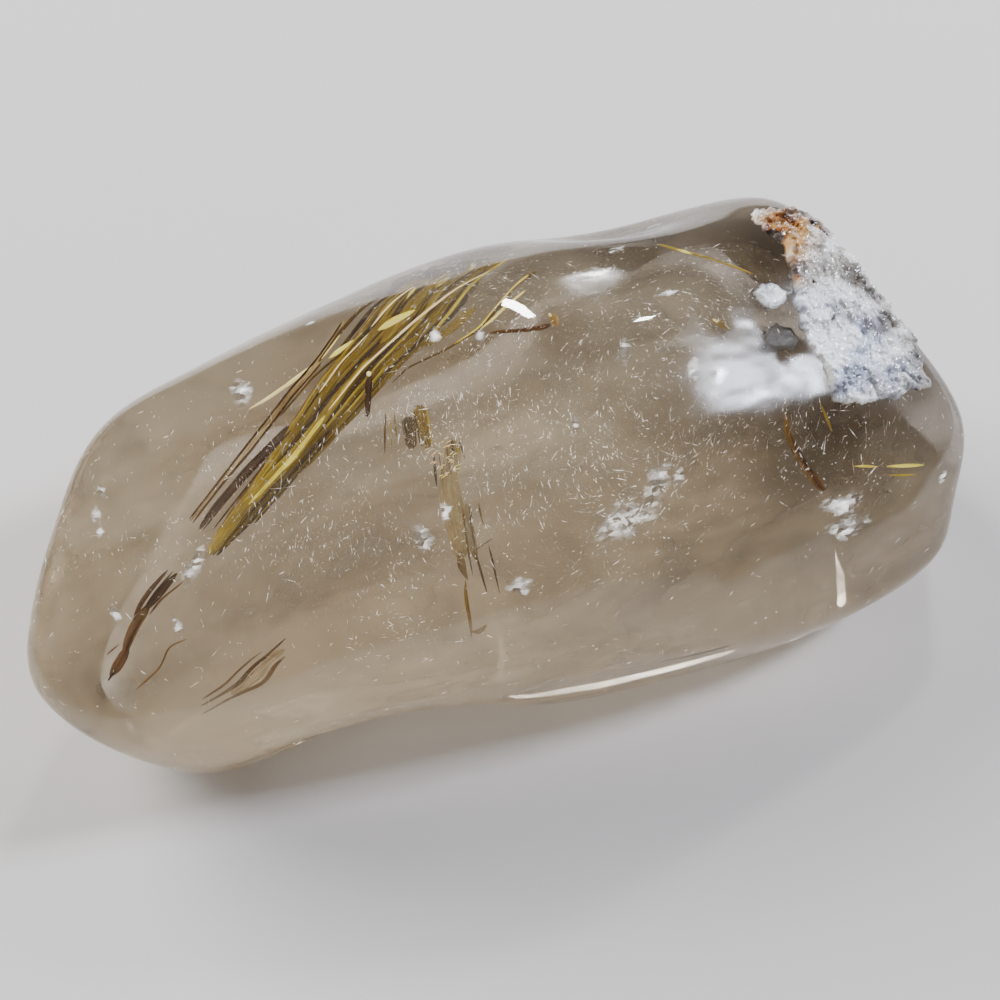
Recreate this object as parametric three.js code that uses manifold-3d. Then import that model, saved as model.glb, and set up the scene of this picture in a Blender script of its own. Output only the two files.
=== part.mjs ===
// A polished freeform of clear quartz with golden and brown rutile crystals sealed inside it.
// Millimetres, +Z up. The long axis lies along X and the stone rests on its ground flat base.
// The origin is under the middle of the stone, on the surface that it rests on.
import * as THREE from 'three';
import { mergeVertices } from 'three/addons/utils/BufferGeometryUtils.js';
import Module from 'manifold-3d';

const wasm = await Module();
wasm.setup();

// Driving dimensions
const HALF_SIZE = new THREE.Vector3(46, 23, 17); // half length, half width, half height of the rough
const GRID = [36, 18, 14]; // facets along the length, the width and the height
const EDGE_ROUND = 1.4; // how softly two ground faces meet
const BASE_LEVEL = -18.2; // height of the flat base under the stone's centre
const SEAM_TILT = Math.atan2(3, 4); // the plane that parts the stone leans towards the viewer
const SEAM_LEVEL = 2; // how far that plane lies in front of the stone's centre
const SEAM_GAP = 0.3;
const POCKET_GAP = 0.3; // room between a sealed crystal and its pocket
const REACH = 120; // longer than the stone, for the two cutting blocks

// Ground faces of the stone. Each is a plane: turn is its compass direction from +X and rise its
// slope above the horizon, in degrees, and away is its distance from the stone's centre.
const GROUND_FACES = [
  { name: 'crown left', turn: -118, rise: 66, away: 12.0 },
  { name: 'crown right', turn: 70, rise: 76, away: 17.0 },
  { name: 'crown front', turn: -52, rise: 61, away: 18.8 },
  { name: 'rough natural face', turn: -42, rise: 60, away: 20.4 },
  { name: 'front right', turn: -76, rise: 33, away: 17.5 },
  { name: 'front left', turn: -128, rise: 38, away: 26.2 },
  { name: 'front band', turn: -97, rise: 8, away: 19.3 },
  { name: 'front under', turn: -93, rise: -18, away: 21.8 },
  { name: 'front under right', turn: -70, rise: -36, away: 30.7 },
  { name: 'left under', turn: -138, rise: -29, away: 38.3 },
  { name: 'left toe', turn: -167, rise: -31, away: 42.3 },
  { name: 'left end', turn: 163, rise: 11, away: 41.5 },
  { name: 'left heel', turn: 144, rise: 4, away: 34.9 },
  { name: 'right tip', turn: -15, rise: -4, away: 46.5 },
  { name: 'right shoulder', turn: 15, rise: 20, away: 39.2 },
  { name: 'back slope', turn: 92, rise: 61, away: 18.0 },
  { name: 'back middle', turn: 84, rise: 32, away: 23.6 },
  { name: 'back left', turn: 107, rise: 40, away: 20.5 },
  { name: 'back low', turn: 92, rise: -8, away: 22.5 },
  { name: 'back low left', turn: 140, rise: -15, away: 34.0 },
  { name: 'back low right', turn: 45, rise: -15, away: 38.0 },
  { name: 'base', turn: 0, rise: -90, away: 18.5 },
];

// Hollows worn into the faces: middle, direction of the long way, half length, half width, depth.
const HOLLOWS = [
  { name: 'waist', at: [-17.5, -17.5, -17.0], along: [1, 0.12, 0], long: 12, wide: 6, deep: 4.4 },
  { name: 'back notch', at: [17.8, 18.3, 9.3], along: [1, -0.2, 0], long: 8, wide: 5, deep: 2.2 },
  { name: 'right notch', at: [44.5, -13.5, -9.5], along: [0.3, 0.3, 1], long: 7, wide: 5.5, deep: 2.2 },
  { name: 'crown scoop', at: [11.2, 5.6, 15.3], along: [1, 0.15, 0], long: 9, wide: 4.5, deep: 1.6 },
  { name: 'left dish', at: [-28.3, -13.6, 2.2], along: [1, 0.1, 0], long: 6, wide: 3.5, deep: 1.0 },
];

const QUARTZ = { color: 0xa89f94, roughness: 0.12, metalness: 0 };
const GOLD_RUTILE = { color: 0x9a7420, roughness: 0.35, metalness: 0.3 };
const BROWN_RUTILE = { color: 0x5e3c24, roughness: 0.4, metalness: 0.2 };

// The unit vector of a ground face.
function faceDirection({ turn, rise }) {
  const flat = THREE.MathUtils.degToRad(turn);
  const up = THREE.MathUtils.degToRad(rise);
  return new THREE.Vector3(
    Math.cos(flat) * Math.cos(up),
    Math.sin(flat) * Math.cos(up),
    Math.sin(up),
  );
}

const FACE_DIRECTIONS = GROUND_FACES.map(faceDirection);

// Moves a point of the cube from -1 to 1 onto the unit sphere, with even spacing.
function cubeToSphere({ x, y, z }) {
  return new THREE.Vector3(
    x * Math.sqrt(1 - (y * y) / 2 - (z * z) / 2 + (y * y * z * z) / 3),
    y * Math.sqrt(1 - (z * z) / 2 - (x * x) / 2 + (z * z * x * x) / 3),
    z * Math.sqrt(1 - (x * x) / 2 - (y * y) / 2 + (x * x * y * y) / 3),
  );
}

// How far a point lies outside the ground faces: their smooth maximum, the logarithm of the sum
// of the exponentials, which rounds every edge. Also the outward direction there.
function groundField(point) {
  const outside = FACE_DIRECTIONS.map(
    (direction, i) => (direction.dot(point) - GROUND_FACES[i].away) / EDGE_ROUND,
  );
  const most = Math.max(...outside);
  const shares = outside.map((value) => Math.exp(value - most));
  const sum = shares.reduce((total, share) => total + share, 0);
  const direction = new THREE.Vector3();
  shares.forEach((share, i) => direction.addScaledVector(FACE_DIRECTIONS[i], share / sum));
  return { value: EDGE_ROUND * (most + Math.log(sum)), direction };
}

// Walks from outside along a ray from the centre to the surface, by Newton's method.
function groundPoint(ray) {
  let distance = 80;
  for (let step = 0; step < 30; step += 1) {
    const { value, direction } = groundField(ray.clone().multiplyScalar(distance));
    distance -= value / direction.dot(ray);
  }
  return ray.clone().multiplyScalar(distance);
}

// The depth of the worn hollows at a point: a rounded oval dip for each.
function hollowDepth(point) {
  return HOLLOWS.reduce((total, { at, along, long, wide, deep }) => {
    const offset = point.clone().sub(new THREE.Vector3(...at));
    const lengthwise = offset.dot(new THREE.Vector3(...along).normalize());
    const sideways = offset.lengthSq() - lengthwise * lengthwise;
    return total + deep * Math.exp(-((lengthwise / long) ** 2) - sideways / (wide * wide));
  }, 0);
}

// The whole stone as one closed skin around its centre.
function stoneGeometry() {
  const box = new THREE.BoxGeometry(2, 2, 2, ...GRID);
  box.deleteAttribute('normal');
  box.deleteAttribute('uv');
  const skin = mergeVertices(box, 1e-5);
  const positions = skin.attributes.position;
  const corner = new THREE.Vector3();
  for (let i = 0; i < positions.count; i += 1) {
    const ray = cubeToSphere(corner.fromBufferAttribute(positions, i)).multiply(HALF_SIZE);
    const point = groundPoint(ray.normalize());
    const outward = groundField(point).direction.normalize();
    point.addScaledVector(outward, -hollowDepth(point));
    positions.setXYZ(i, point.x, point.y, Math.max(point.z, BASE_LEVEL));
  }
  return skin;
}

// A closed solid from a three.js geometry, with its equal corners joined.
function toSolid(geometry) {
  const plain = geometry.clone();
  plain.deleteAttribute('normal');
  plain.deleteAttribute('uv');
  const joined = mergeVertices(plain, 1e-5);
  return new wasm.Manifold(new wasm.Mesh({
    numProp: 3,
    vertProperties: new Float32Array(joined.attributes.position.array),
    triVerts: new Uint32Array(joined.index.array),
  }));
}

// A three.js geometry from a closed solid.
function toGeometry(solid) {
  const { vertProperties, triVerts } = solid.getMesh();
  const geometry = new THREE.BufferGeometry();
  geometry.setAttribute('position', new THREE.Float32BufferAttribute(vertProperties, 3));
  geometry.setIndex([...triVerts]);
  return geometry;
}

// Joins solids that grew into each other.
function fuse(solids) {
  return solids.reduce((whole, solid) => whole.add(solid));
}

// Turns a solid drawn on the level seam plane into its leaning place in the stone.
function lean(geometry) {
  return toSolid(geometry.rotateX(SEAM_TILT));
}

// A flat crystal blade along the seam plane. Each point of its path is [along the stone, up the
// seam, width]. grow makes it that much larger on every side, for its pocket.
function blade(path, thickness, lift, grow) {
  const points = path.map(([u, v]) => new THREE.Vector2(u, v));
  const left = [];
  const right = [];
  path.forEach(([, , width], i) => {
    const before = points[Math.max(i - 1, 0)];
    const after = points[Math.min(i + 1, points.length - 1)];
    const forward = after.clone().sub(before).normalize();
    const side = new THREE.Vector2(-forward.y, forward.x).multiplyScalar(width / 2 + grow);
    const end = (i === 0 ? -grow : 0) + (i === points.length - 1 ? grow : 0);
    const middle = points[i].clone().addScaledVector(forward, end);
    left.push(middle.clone().add(side));
    right.unshift(middle.clone().sub(side));
  });
  return plate([...left, ...right], thickness, lift, grow);
}

// A flat plate with the given outline, half in front of the seam plane and half behind it.
function plate(outline, thickness, lift, grow) {
  const depth = thickness + 2 * grow;
  const settings = { depth, bevelEnabled: false };
  const geometry = new THREE.ExtrudeGeometry(new THREE.Shape(outline), settings);
  return lean(geometry.translate(0, 0, SEAM_LEVEL + lift - depth / 2));
}

// A square rod between two points given as [along the stone, up the seam, in front of the centre].
function rod(from, to, thickness, grow) {
  const start = new THREE.Vector3(...from);
  const way = new THREE.Vector3(...to).sub(start);
  const size = thickness + 2 * grow;
  const geometry = new THREE.BoxGeometry(size, size, way.length() + 2 * grow);
  const turn = new THREE.Quaternion().setFromUnitVectors(
    new THREE.Vector3(0, 0, 1),
    way.clone().normalize(),
  );
  geometry.applyQuaternion(turn);
  const middle = start.addScaledVector(way, 0.5);
  return lean(geometry.translate(middle.x, middle.y, middle.z));
}

// The golden sheaf: blades grown together at a narrow root, fanning out to the back rim.
function sheaf(grow) {
  return fuse([
    blade([[-27.4, -2.0, 1.8], [-20.0, 2.5, 2.4], [-14.8, 8.0, 3.2]], 1.6, 0, grow),
    blade([[-15.6, 7.2, 2.6], [-10.4, 11.6, 3.6], [-6.2, 13.9, 4.6]], 1.4, 0, grow),
    blade([[-12.6, 10.6, 1.6], [-8.8, 13.6, 1.4], [-5.8, 15.4, 1.0]], 1.0, 0.25, grow),
    blade([[-10.2, 11.7, 2.2], [-5.6, 14.2, 2.4], [-2.8, 15.8, 1.6]], 1.2, -0.15, grow),
    blade([[-14.0, 8.0, 1.2], [-8.8, 10.8, 1.6], [-1.0, 13.6, 2.0], [1.6, 15.2, 1.2]], 1.0, 0.1, grow),
  ]);
}

// The long brown needle left of the sheaf, with a yellow twin growing out of its side.
function longNeedle(grow) {
  return fuse([
    blade([[-10.8, 14.6, 0.5], [-17.0, 10.1, 0.6], [-28.2, 1.4, 0.5]], 0.6, 0, grow),
    blade([[-14.8, 11.8, 0.5], [-20.9, 9.6, 0.4]], 0.5, 0, grow),
  ]);
}

// The thick brown needle between the long one and the sheaf.
function thickNeedle(grow) {
  return blade([[-19.3, 6.8, 0.6], [-23.0, 4.1, 0.8], [-27.5, 0.6, 0.5]], 0.7, 0, grow);
}

// The thin brown needle beside the sheaf's root.
function thinNeedle(grow) {
  return blade([[-21.2, 4.3, 0.4], [-26.4, 0.2, 0.4]], 0.5, 0, grow);
}

// The short red-brown rod that stands in front of the sheaf's right edge.
function shortRod(grow) {
  return rod([-10.9, 6.2, 1.6], [-10.2, 10.1, 4.9], 0.6, grow);
}

// The golden-brown tablet with a step in its top.
function tablet(grow) {
  const outline = [
    [-8.5 - grow, 2.2 - grow],
    [-6.4 + grow, 1.8 - grow],
    [-5.6 + grow, 5.7 + grow],
    [-6.8 - grow, 6.0 + grow],
    [-6.9 - grow, 5.3 + grow],
    [-7.9 - grow, 5.1 + grow],
  ].map(([u, v]) => new THREE.Vector2(u, v));
  return plate(outline, 0.8, 0, grow);
}

// The faint striped plate left of the tablet.
function faintPlate(grow) {
  return blade([[-8.9, 6.0, 0.7], [-9.8, 2.7, 0.7]], 0.5, 0, grow);
}

// The long translucent column that runs down the middle of the stone.
function column(grow) {
  return fuse([
    blade([[-3.9, 2.1, 1.6], [-4.9, -1.6, 2.6], [-5.6, -5.4, 2.2], [-5.8, -9.8, 1.4]], 1.4, 0, grow),
    blade([[-4.6, -4.0, 1.0], [-4.1, -10.6, 0.5]], 0.6, 0, grow),
    blade([[-6.0, -8.0, 0.9], [-7.2, -11.9, 0.6]], 0.6, 0, grow),
  ]);
}

// The forked golden needle right of the sheaf.
function fork(grow) {
  return fuse([
    blade([[-7.2, 8.5, 0.4], [-2.3, 10.1, 0.5], [1.7, 11.4, 0.6], [7.1, 15.1, 0.5]], 0.6, 0, grow),
    blade([[-0.4, 10.3, 0.6], [5.6, 12.6, 0.5]], 0.5, 0, grow),
  ]);
}

// The thin rod with an orange knob under the fork.
function knobRod(grow) {
  return fuse([
    blade([[1.4, 10.1, 0.5], [4.2, 9.3, 0.5], [6.9, 8.8, 0.6]], 0.6, 0, grow),
    blade([[6.8, 8.2, 1.0], [7.0, 9.7, 0.8]], 0.9, 0, grow),
  ]);
}

// The curved brown tail below the sheaf's root.
function tail(grow) {
  const path = [[-29.9, -2.3, 1.4], [-32.2, -3.7, 1.8], [-34.5, -5.5, 1.8], [-36.0, -7.3, 1.2]];
  return blade([...path, [-37.8, -9.3, 1.5]], 1.1, 0, grow);
}

// The low spray: three brown blades from one end.
function lowSpray(grow) {
  return fuse([
    blade([[-22.2, -10.4, 1.6], [-26.1, -11.8, 1.6], [-31.2, -13.0, 0.6]], 0.9, 0, grow),
    blade([[-24.6, -11.2, 1.0], [-30.2, -12.0, 0.5]], 0.7, 0, grow),
  ]);
}

// The faint curved thread above the low spray.
function leftThread(grow) {
  return blade([[-30.9, -8.0, 0.5], [-33.6, -9.6, 0.5], [-35.9, -10.9, 0.4]], 0.5, 0, grow);
}

// The curved brown rod at the right end.
function curvedRod(grow) {
  const path = [[24.9, -2.9, 0.7], [24.8, -5.1, 0.7], [25.9, -7.4, 0.7], [27.5, -9.3, 0.9]];
  return blade(path, 0.7, 0, grow);
}

// The short yellow pin beside the curved rod.
function pin(grow) {
  return blade([[28.5, -2.4, 0.5], [29.2, -4.9, 0.4]], 0.5, 0, grow);
}

// The flat golden streaks near the right tip.
function streaks(grow) {
  return blade([[30.9, -8.2, 0.5], [34.6, -9.0, 0.9], [38.2, -9.8, 0.6]], 0.6, 0, grow);
}

// The pale yellow thread under the back notch.
function topThread(grow) {
  return blade([[19.2, 15.4, 0.5], [22.6, 12.6, 0.5], [26.4, 9.9, 0.4]], 0.5, 0, grow);
}

// The brown needle low in the front band.
function lowNeedle(grow) {
  return blade([[9.3, -19.5, 0.4], [12.6, -19.9, 0.6], [16.0, -19.9, 0.5]], 0.5, 0, grow);
}

// The small orange crystal under the crown.
function grain(grow) {
  return blade([[20.4, 6.4, 0.6], [21.8, 5.5, 0.8]], 0.7, 0, grow);
}

const CRYSTALS = [
  { name: 'rutile_sheaf', shape: sheaf, finish: GOLD_RUTILE },
  { name: 'rutile_needle_long', shape: longNeedle, finish: BROWN_RUTILE },
  { name: 'rutile_needle_thick', shape: thickNeedle, finish: BROWN_RUTILE },
  { name: 'rutile_needle_thin', shape: thinNeedle, finish: BROWN_RUTILE },
  { name: 'rutile_rod_short', shape: shortRod, finish: BROWN_RUTILE },
  { name: 'rutile_tablet', shape: tablet, finish: GOLD_RUTILE },
  { name: 'rutile_plate_faint', shape: faintPlate, finish: GOLD_RUTILE },
  { name: 'rutile_column', shape: column, finish: GOLD_RUTILE },
  { name: 'rutile_fork', shape: fork, finish: GOLD_RUTILE },
  { name: 'rutile_rod_knob', shape: knobRod, finish: BROWN_RUTILE },
  { name: 'rutile_tail', shape: tail, finish: BROWN_RUTILE },
  { name: 'rutile_spray_low', shape: lowSpray, finish: BROWN_RUTILE },
  { name: 'rutile_thread_left', shape: leftThread, finish: BROWN_RUTILE },
  { name: 'rutile_rod_curved', shape: curvedRod, finish: BROWN_RUTILE },
  { name: 'rutile_pin', shape: pin, finish: GOLD_RUTILE },
  { name: 'rutile_streaks', shape: streaks, finish: GOLD_RUTILE },
  { name: 'rutile_thread_top', shape: topThread, finish: GOLD_RUTILE },
  { name: 'rutile_needle_low', shape: lowNeedle, finish: BROWN_RUTILE },
  { name: 'rutile_grain', shape: grain, finish: GOLD_RUTILE },
];

// A block that covers everything in front of the seam (side 1) or behind it (side -1).
function seamBlock(side) {
  const middle = SEAM_LEVEL + side * (REACH / 2 + SEAM_GAP / 2);
  return lean(new THREE.BoxGeometry(REACH, REACH, REACH).translate(0, 0, middle));
}

// One clear half of the stone, hollowed by its share of the pockets.
function quartzHalf(stone, pockets, side) {
  return stone.intersect(seamBlock(side)).subtract(pockets);
}

// A named part with its own material.
function part(name, solid, finish) {
  const mesh = new THREE.Mesh(toGeometry(solid), new THREE.MeshStandardMaterial(finish));
  mesh.name = name;
  return mesh;
}

const stone = toSolid(stoneGeometry());
const pockets = fuse(CRYSTALS.map(({ shape }) => shape(POCKET_GAP)));

const freeform = new THREE.Group();
freeform.name = 'rutilated_quartz_freeform';
freeform.add(part('quartz_front', quartzHalf(stone, pockets, 1), QUARTZ));
freeform.add(part('quartz_back', quartzHalf(stone, pockets, -1), QUARTZ));
CRYSTALS.forEach(({ name, shape, finish }) => freeform.add(part(name, shape(0), finish)));

// Sets the stone down with the origin under its middle.
const box = new THREE.Box3().setFromObject(freeform);
const middle = box.getCenter(new THREE.Vector3());
freeform.children.forEach((mesh) => mesh.geometry.translate(-middle.x, -middle.y, -box.min.z));

export default freeform;
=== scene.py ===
"""A polished freeform of clear quartz with golden and brown rutile sealed inside it.

Metres, +Z up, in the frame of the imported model. Shapes are worked out in millimetres around the
stone's own centre and set down where the frame holds it. The rutile lies along one leaning plane
through the stone, so its places are given as (along the stone, up the plane, in front of it).
"""
import math

import bpy
import numpy as np
from bpy.props import FloatProperty, FloatVectorProperty, IntProperty, PointerProperty
from bpy.types import Operator, Panel, PropertyGroup
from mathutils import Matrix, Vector


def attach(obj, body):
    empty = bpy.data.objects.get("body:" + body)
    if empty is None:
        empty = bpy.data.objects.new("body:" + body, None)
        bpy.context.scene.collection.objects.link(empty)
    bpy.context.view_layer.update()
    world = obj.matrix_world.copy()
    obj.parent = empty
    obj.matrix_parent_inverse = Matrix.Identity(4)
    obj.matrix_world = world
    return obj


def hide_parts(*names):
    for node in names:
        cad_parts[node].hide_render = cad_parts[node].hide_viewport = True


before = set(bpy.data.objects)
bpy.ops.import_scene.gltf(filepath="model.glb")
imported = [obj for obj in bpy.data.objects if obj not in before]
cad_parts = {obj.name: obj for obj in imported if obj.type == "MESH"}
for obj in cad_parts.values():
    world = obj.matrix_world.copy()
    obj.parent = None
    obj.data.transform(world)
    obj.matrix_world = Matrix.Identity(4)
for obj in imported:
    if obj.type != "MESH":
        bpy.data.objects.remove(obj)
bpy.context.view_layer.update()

bl_info = {
    "name": "Rutilated Quartz Freeform",
    "version": (1, 0, 0),
    "blender": (4, 5, 0),
    "location": "View3D > Sidebar > Quartz",
    "description": "Builds a polished quartz freeform with its rutile, veils and sparkles",
    "category": "Object",
}

MM = 0.001
STONE_CENTRE = np.array([-0.81, -1.382, 18.2])  # where the stone's own centre lies in the frame

# Ground faces of the stone: compass direction from +X and slope above the horizon in degrees,
# and distance from the stone's centre in millimetres.
GROUND_FACES = np.array([
    (-118, 66, 12.0),  # crown left
    (70, 76, 17.0),  # crown right
    (-52, 61, 18.8),  # crown front
    (-42, 60, 20.4),  # rough natural face
    (-76, 33, 17.5),  # front right
    (-128, 38, 26.2),  # front left
    (-97, 8, 19.3),  # front band
    (-93, -18, 21.8),  # front under
    (-70, -36, 30.7),  # front under right
    (-138, -29, 38.3),  # left under
    (-167, -31, 42.3),  # left toe
    (163, 11, 41.5),  # left end
    (144, 4, 34.9),  # left heel
    (-15, -4, 46.5),  # right tip
    (15, 20, 39.2),  # right shoulder
    (92, 61, 18.0),  # back slope
    (84, 32, 23.6),  # back middle
    (107, 40, 20.5),  # back left
    (92, -8, 22.5),  # back low
    (140, -15, 34.0),  # back low left
    (45, -15, 38.0),  # back low right
    (0, -90, 18.5),  # base
])
BASE_LEVEL = -18.2
GRID_SHAPE = np.array([46.0, 23.0, 17.0])  # half sizes of the box whose grid is cast on the stone

# Hollows worn into the faces: middle, direction of the long way, half length, half width, depth.
HOLLOWS = [
    ((-17.5, -17.5, -17.0), (1, 0.12, 0), 12, 6, 4.4),  # waist
    ((17.8, 18.3, 9.3), (1, -0.2, 0), 8, 5, 2.2),  # back notch
    ((44.5, -13.5, -9.5), (0.3, 0.3, 1), 7, 5.5, 2.2),  # right notch
    ((11.2, 5.6, 15.3), (1, 0.15, 0), 9, 4.5, 1.6),  # crown scoop
    ((-28.3, -13.6, 2.2), (1, 0.1, 0), 6, 3.5, 1.0),  # left dish
]

# Axes of the leaning plane: along the stone, up the plane, and out of it to the front.
PLANE_AXES = np.array([(1, 0, 0), (0, 0.8, 0.6), (0, -0.6, 0.8)])


def linear(colour):
    """The linear colour of an sRGB hex value such as B5AA9C."""
    srgb = np.array([int(colour[i:i + 2], 16) / 255 for i in (0, 2, 4)])
    value = np.where(srgb <= 0.04045, srgb / 12.92, ((srgb + 0.055) / 1.055) ** 2.4)
    return (*(float(part) for part in value), 1.0)


# ---- shapes worked out with numpy, in millimetres ----

def from_plane(points):
    """Places given along, up and in front of the leaning plane, around the stone's centre."""
    return np.asarray(points, float) @ PLANE_AXES


def value_noise(points, size, seed):
    """Smooth random values from -1 to 1: a random number at each corner of a grid of the given
    size, blended between the corners by 3t² - 2t³."""
    corners = np.random.default_rng(seed).uniform(-1, 1, (32, 32, 32))
    place = np.asarray(points, float) / size
    cell = np.floor(place).astype(int)
    part = place - cell
    part = part * part * (3 - 2 * part)
    total = np.zeros(place.shape[:-1])
    for corner in np.ndindex(2, 2, 2):
        share = np.where(corner, part, 1 - part).prod(-1)
        total += share * corners[tuple(np.moveaxis((cell + corner) % 32, -1, 0))]
    return total


def layered_noise(points, size, seed, layers=4):
    """Value noise with each layer half as large and half as strong as the one before."""
    return sum(value_noise(points, size / 2 ** i, seed + i) / 2 ** i for i in range(layers))


def grid_quads(rows, columns):
    """The corner numbers of every cell of a grid of rows times columns points."""
    corner = np.arange(rows * columns).reshape(rows, columns)[:-1, :-1].ravel()
    return np.stack([corner, corner + columns, corner + columns + 1, corner + 1], 1)


def split_quads(quads):
    """Two triangles for every quad."""
    return np.concatenate([quads[:, [0, 1, 2]], quads[:, [0, 2, 3]]])


def how_far_outside(points, edge_round):
    """How far points lie outside the ground stone, and the direction straight out.

    The logarithm of the summed exponentials of the distances to all ground faces: it is the
    largest distance, with every edge between two faces rounded.
    """
    flat, up = np.radians(GROUND_FACES[:, 0]), np.radians(GROUND_FACES[:, 1])
    towards = np.stack([np.cos(flat) * np.cos(up), np.sin(flat) * np.cos(up), np.sin(up)], 1)
    distance = (points @ towards.T - GROUND_FACES[:, 2]) / edge_round
    most = distance.max(1, keepdims=True)
    share = np.exp(distance - most)
    total = share.sum(1, keepdims=True)
    outside = edge_round * (most + np.log(total))[:, 0]
    return outside, (share / total) @ towards


def hollow_depth(points):
    """The summed depth of the worn hollows: a bell curve along and across each."""
    depth = np.zeros(len(points))
    for middle, way, long, wide, deep in HOLLOWS:
        way = np.array(way, float) / np.linalg.norm(way)
        offset = points - np.array(middle, float)
        lengthwise = offset @ way
        sideways = (offset ** 2).sum(1) - lengthwise ** 2
        depth += deep * np.exp(-(lengthwise / long) ** 2 - sideways / wide ** 2)
    return depth


def ripple_depth(points, height):
    """The unevenness that hand polishing leaves: noise with humps 9 mm long, drawn out along
    the stone, and finer noise with humps of 3 mm."""
    drawn = points * (0.6, 1.0, 1.0)
    return height * (0.7 * value_noise(drawn, 9.0, 3) + 0.22 * value_noise(drawn, 3.0, 4))


def on_skin(rays, edge_round, ripple, start=(0, 0, 0)):
    """The stone's skin along rays from a start inside it, and the direction straight out there.

    Newton's method walks each ray in from outside to the ground shape. The hollows and the
    ripple are then sunk into it, and the base is cut flat.
    """
    rays = rays / np.linalg.norm(rays, axis=1, keepdims=True)
    distance = np.full(len(rays), 80.0)
    for _ in range(30):
        outside, out = how_far_outside(start + rays * distance[:, None], edge_round)
        distance -= outside / (rays * out).sum(1)
    out /= np.linalg.norm(out, axis=1, keepdims=True)
    points = start + rays * distance[:, None]
    points -= out * (hollow_depth(points) + ripple_depth(points, ripple))[:, None]
    points[:, 2] = np.maximum(points[:, 2], BASE_LEVEL)
    return points, out


def keep_inside(points, edge_round, ripple, margin):
    """Moves points that come nearer to the skin than the margin straight in by what is missing."""
    for _ in range(3):
        outside, out = how_far_outside(points, edge_round)
        out /= np.linalg.norm(out, axis=1, keepdims=True)
        skin = points - out * outside[:, None]
        over = outside + hollow_depth(skin) + ripple_depth(skin, ripple) + margin
        points = points - out * np.maximum(over, 0)[:, None]
    return points


def cube_sphere(counts):
    """Directions spread evenly over a sphere, and their quads.

    Each side of a cube is a grid of two parameters, rounded by
    x' = x sqrt(1 - y²/2 - z²/2 + y²z²/3) and so on in turn. Points on shared edges are joined.
    """
    points, quads, base = [], [], 0
    for axis in range(3):
        first, second = (axis + 1) % 3, (axis + 2) % 3
        u = np.linspace(-1, 1, counts[first] + 1)
        v = np.linspace(-1, 1, counts[second] + 1)
        for side in (1, -1):
            grid = np.empty((len(u), len(v), 3))
            grid[..., axis] = side
            grid[..., first] = u[:, None]
            grid[..., second] = v[None, :]
            cells = grid_quads(len(u), len(v))
            quads.append((cells if side > 0 else cells[:, ::-1]) + base)
            points.append(grid.reshape(-1, 3))
            base += len(u) * len(v)
    points = np.concatenate(points)
    _, keep, where = np.unique(points.round(6), axis=0, return_index=True, return_inverse=True)
    x, y, z = (points[keep] ** 2).T
    rounding = np.stack([1 - y / 2 - z / 2 + y * z / 3, 1 - z / 2 - x / 2 + z * x / 3,
                         1 - x / 2 - y / 2 + x * y / 3], 1)
    return points[keep] * np.sqrt(rounding), where.ravel()[np.concatenate(quads)]


BLADE_SQUARE = 0.45  # 1 gives an oval profile and 0 a square one
BLADE_WANDER = 0.14  # how much a blade's width changes along it
BLADE_STEP = 0.35  # millimetres between the rings of a blade


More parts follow.
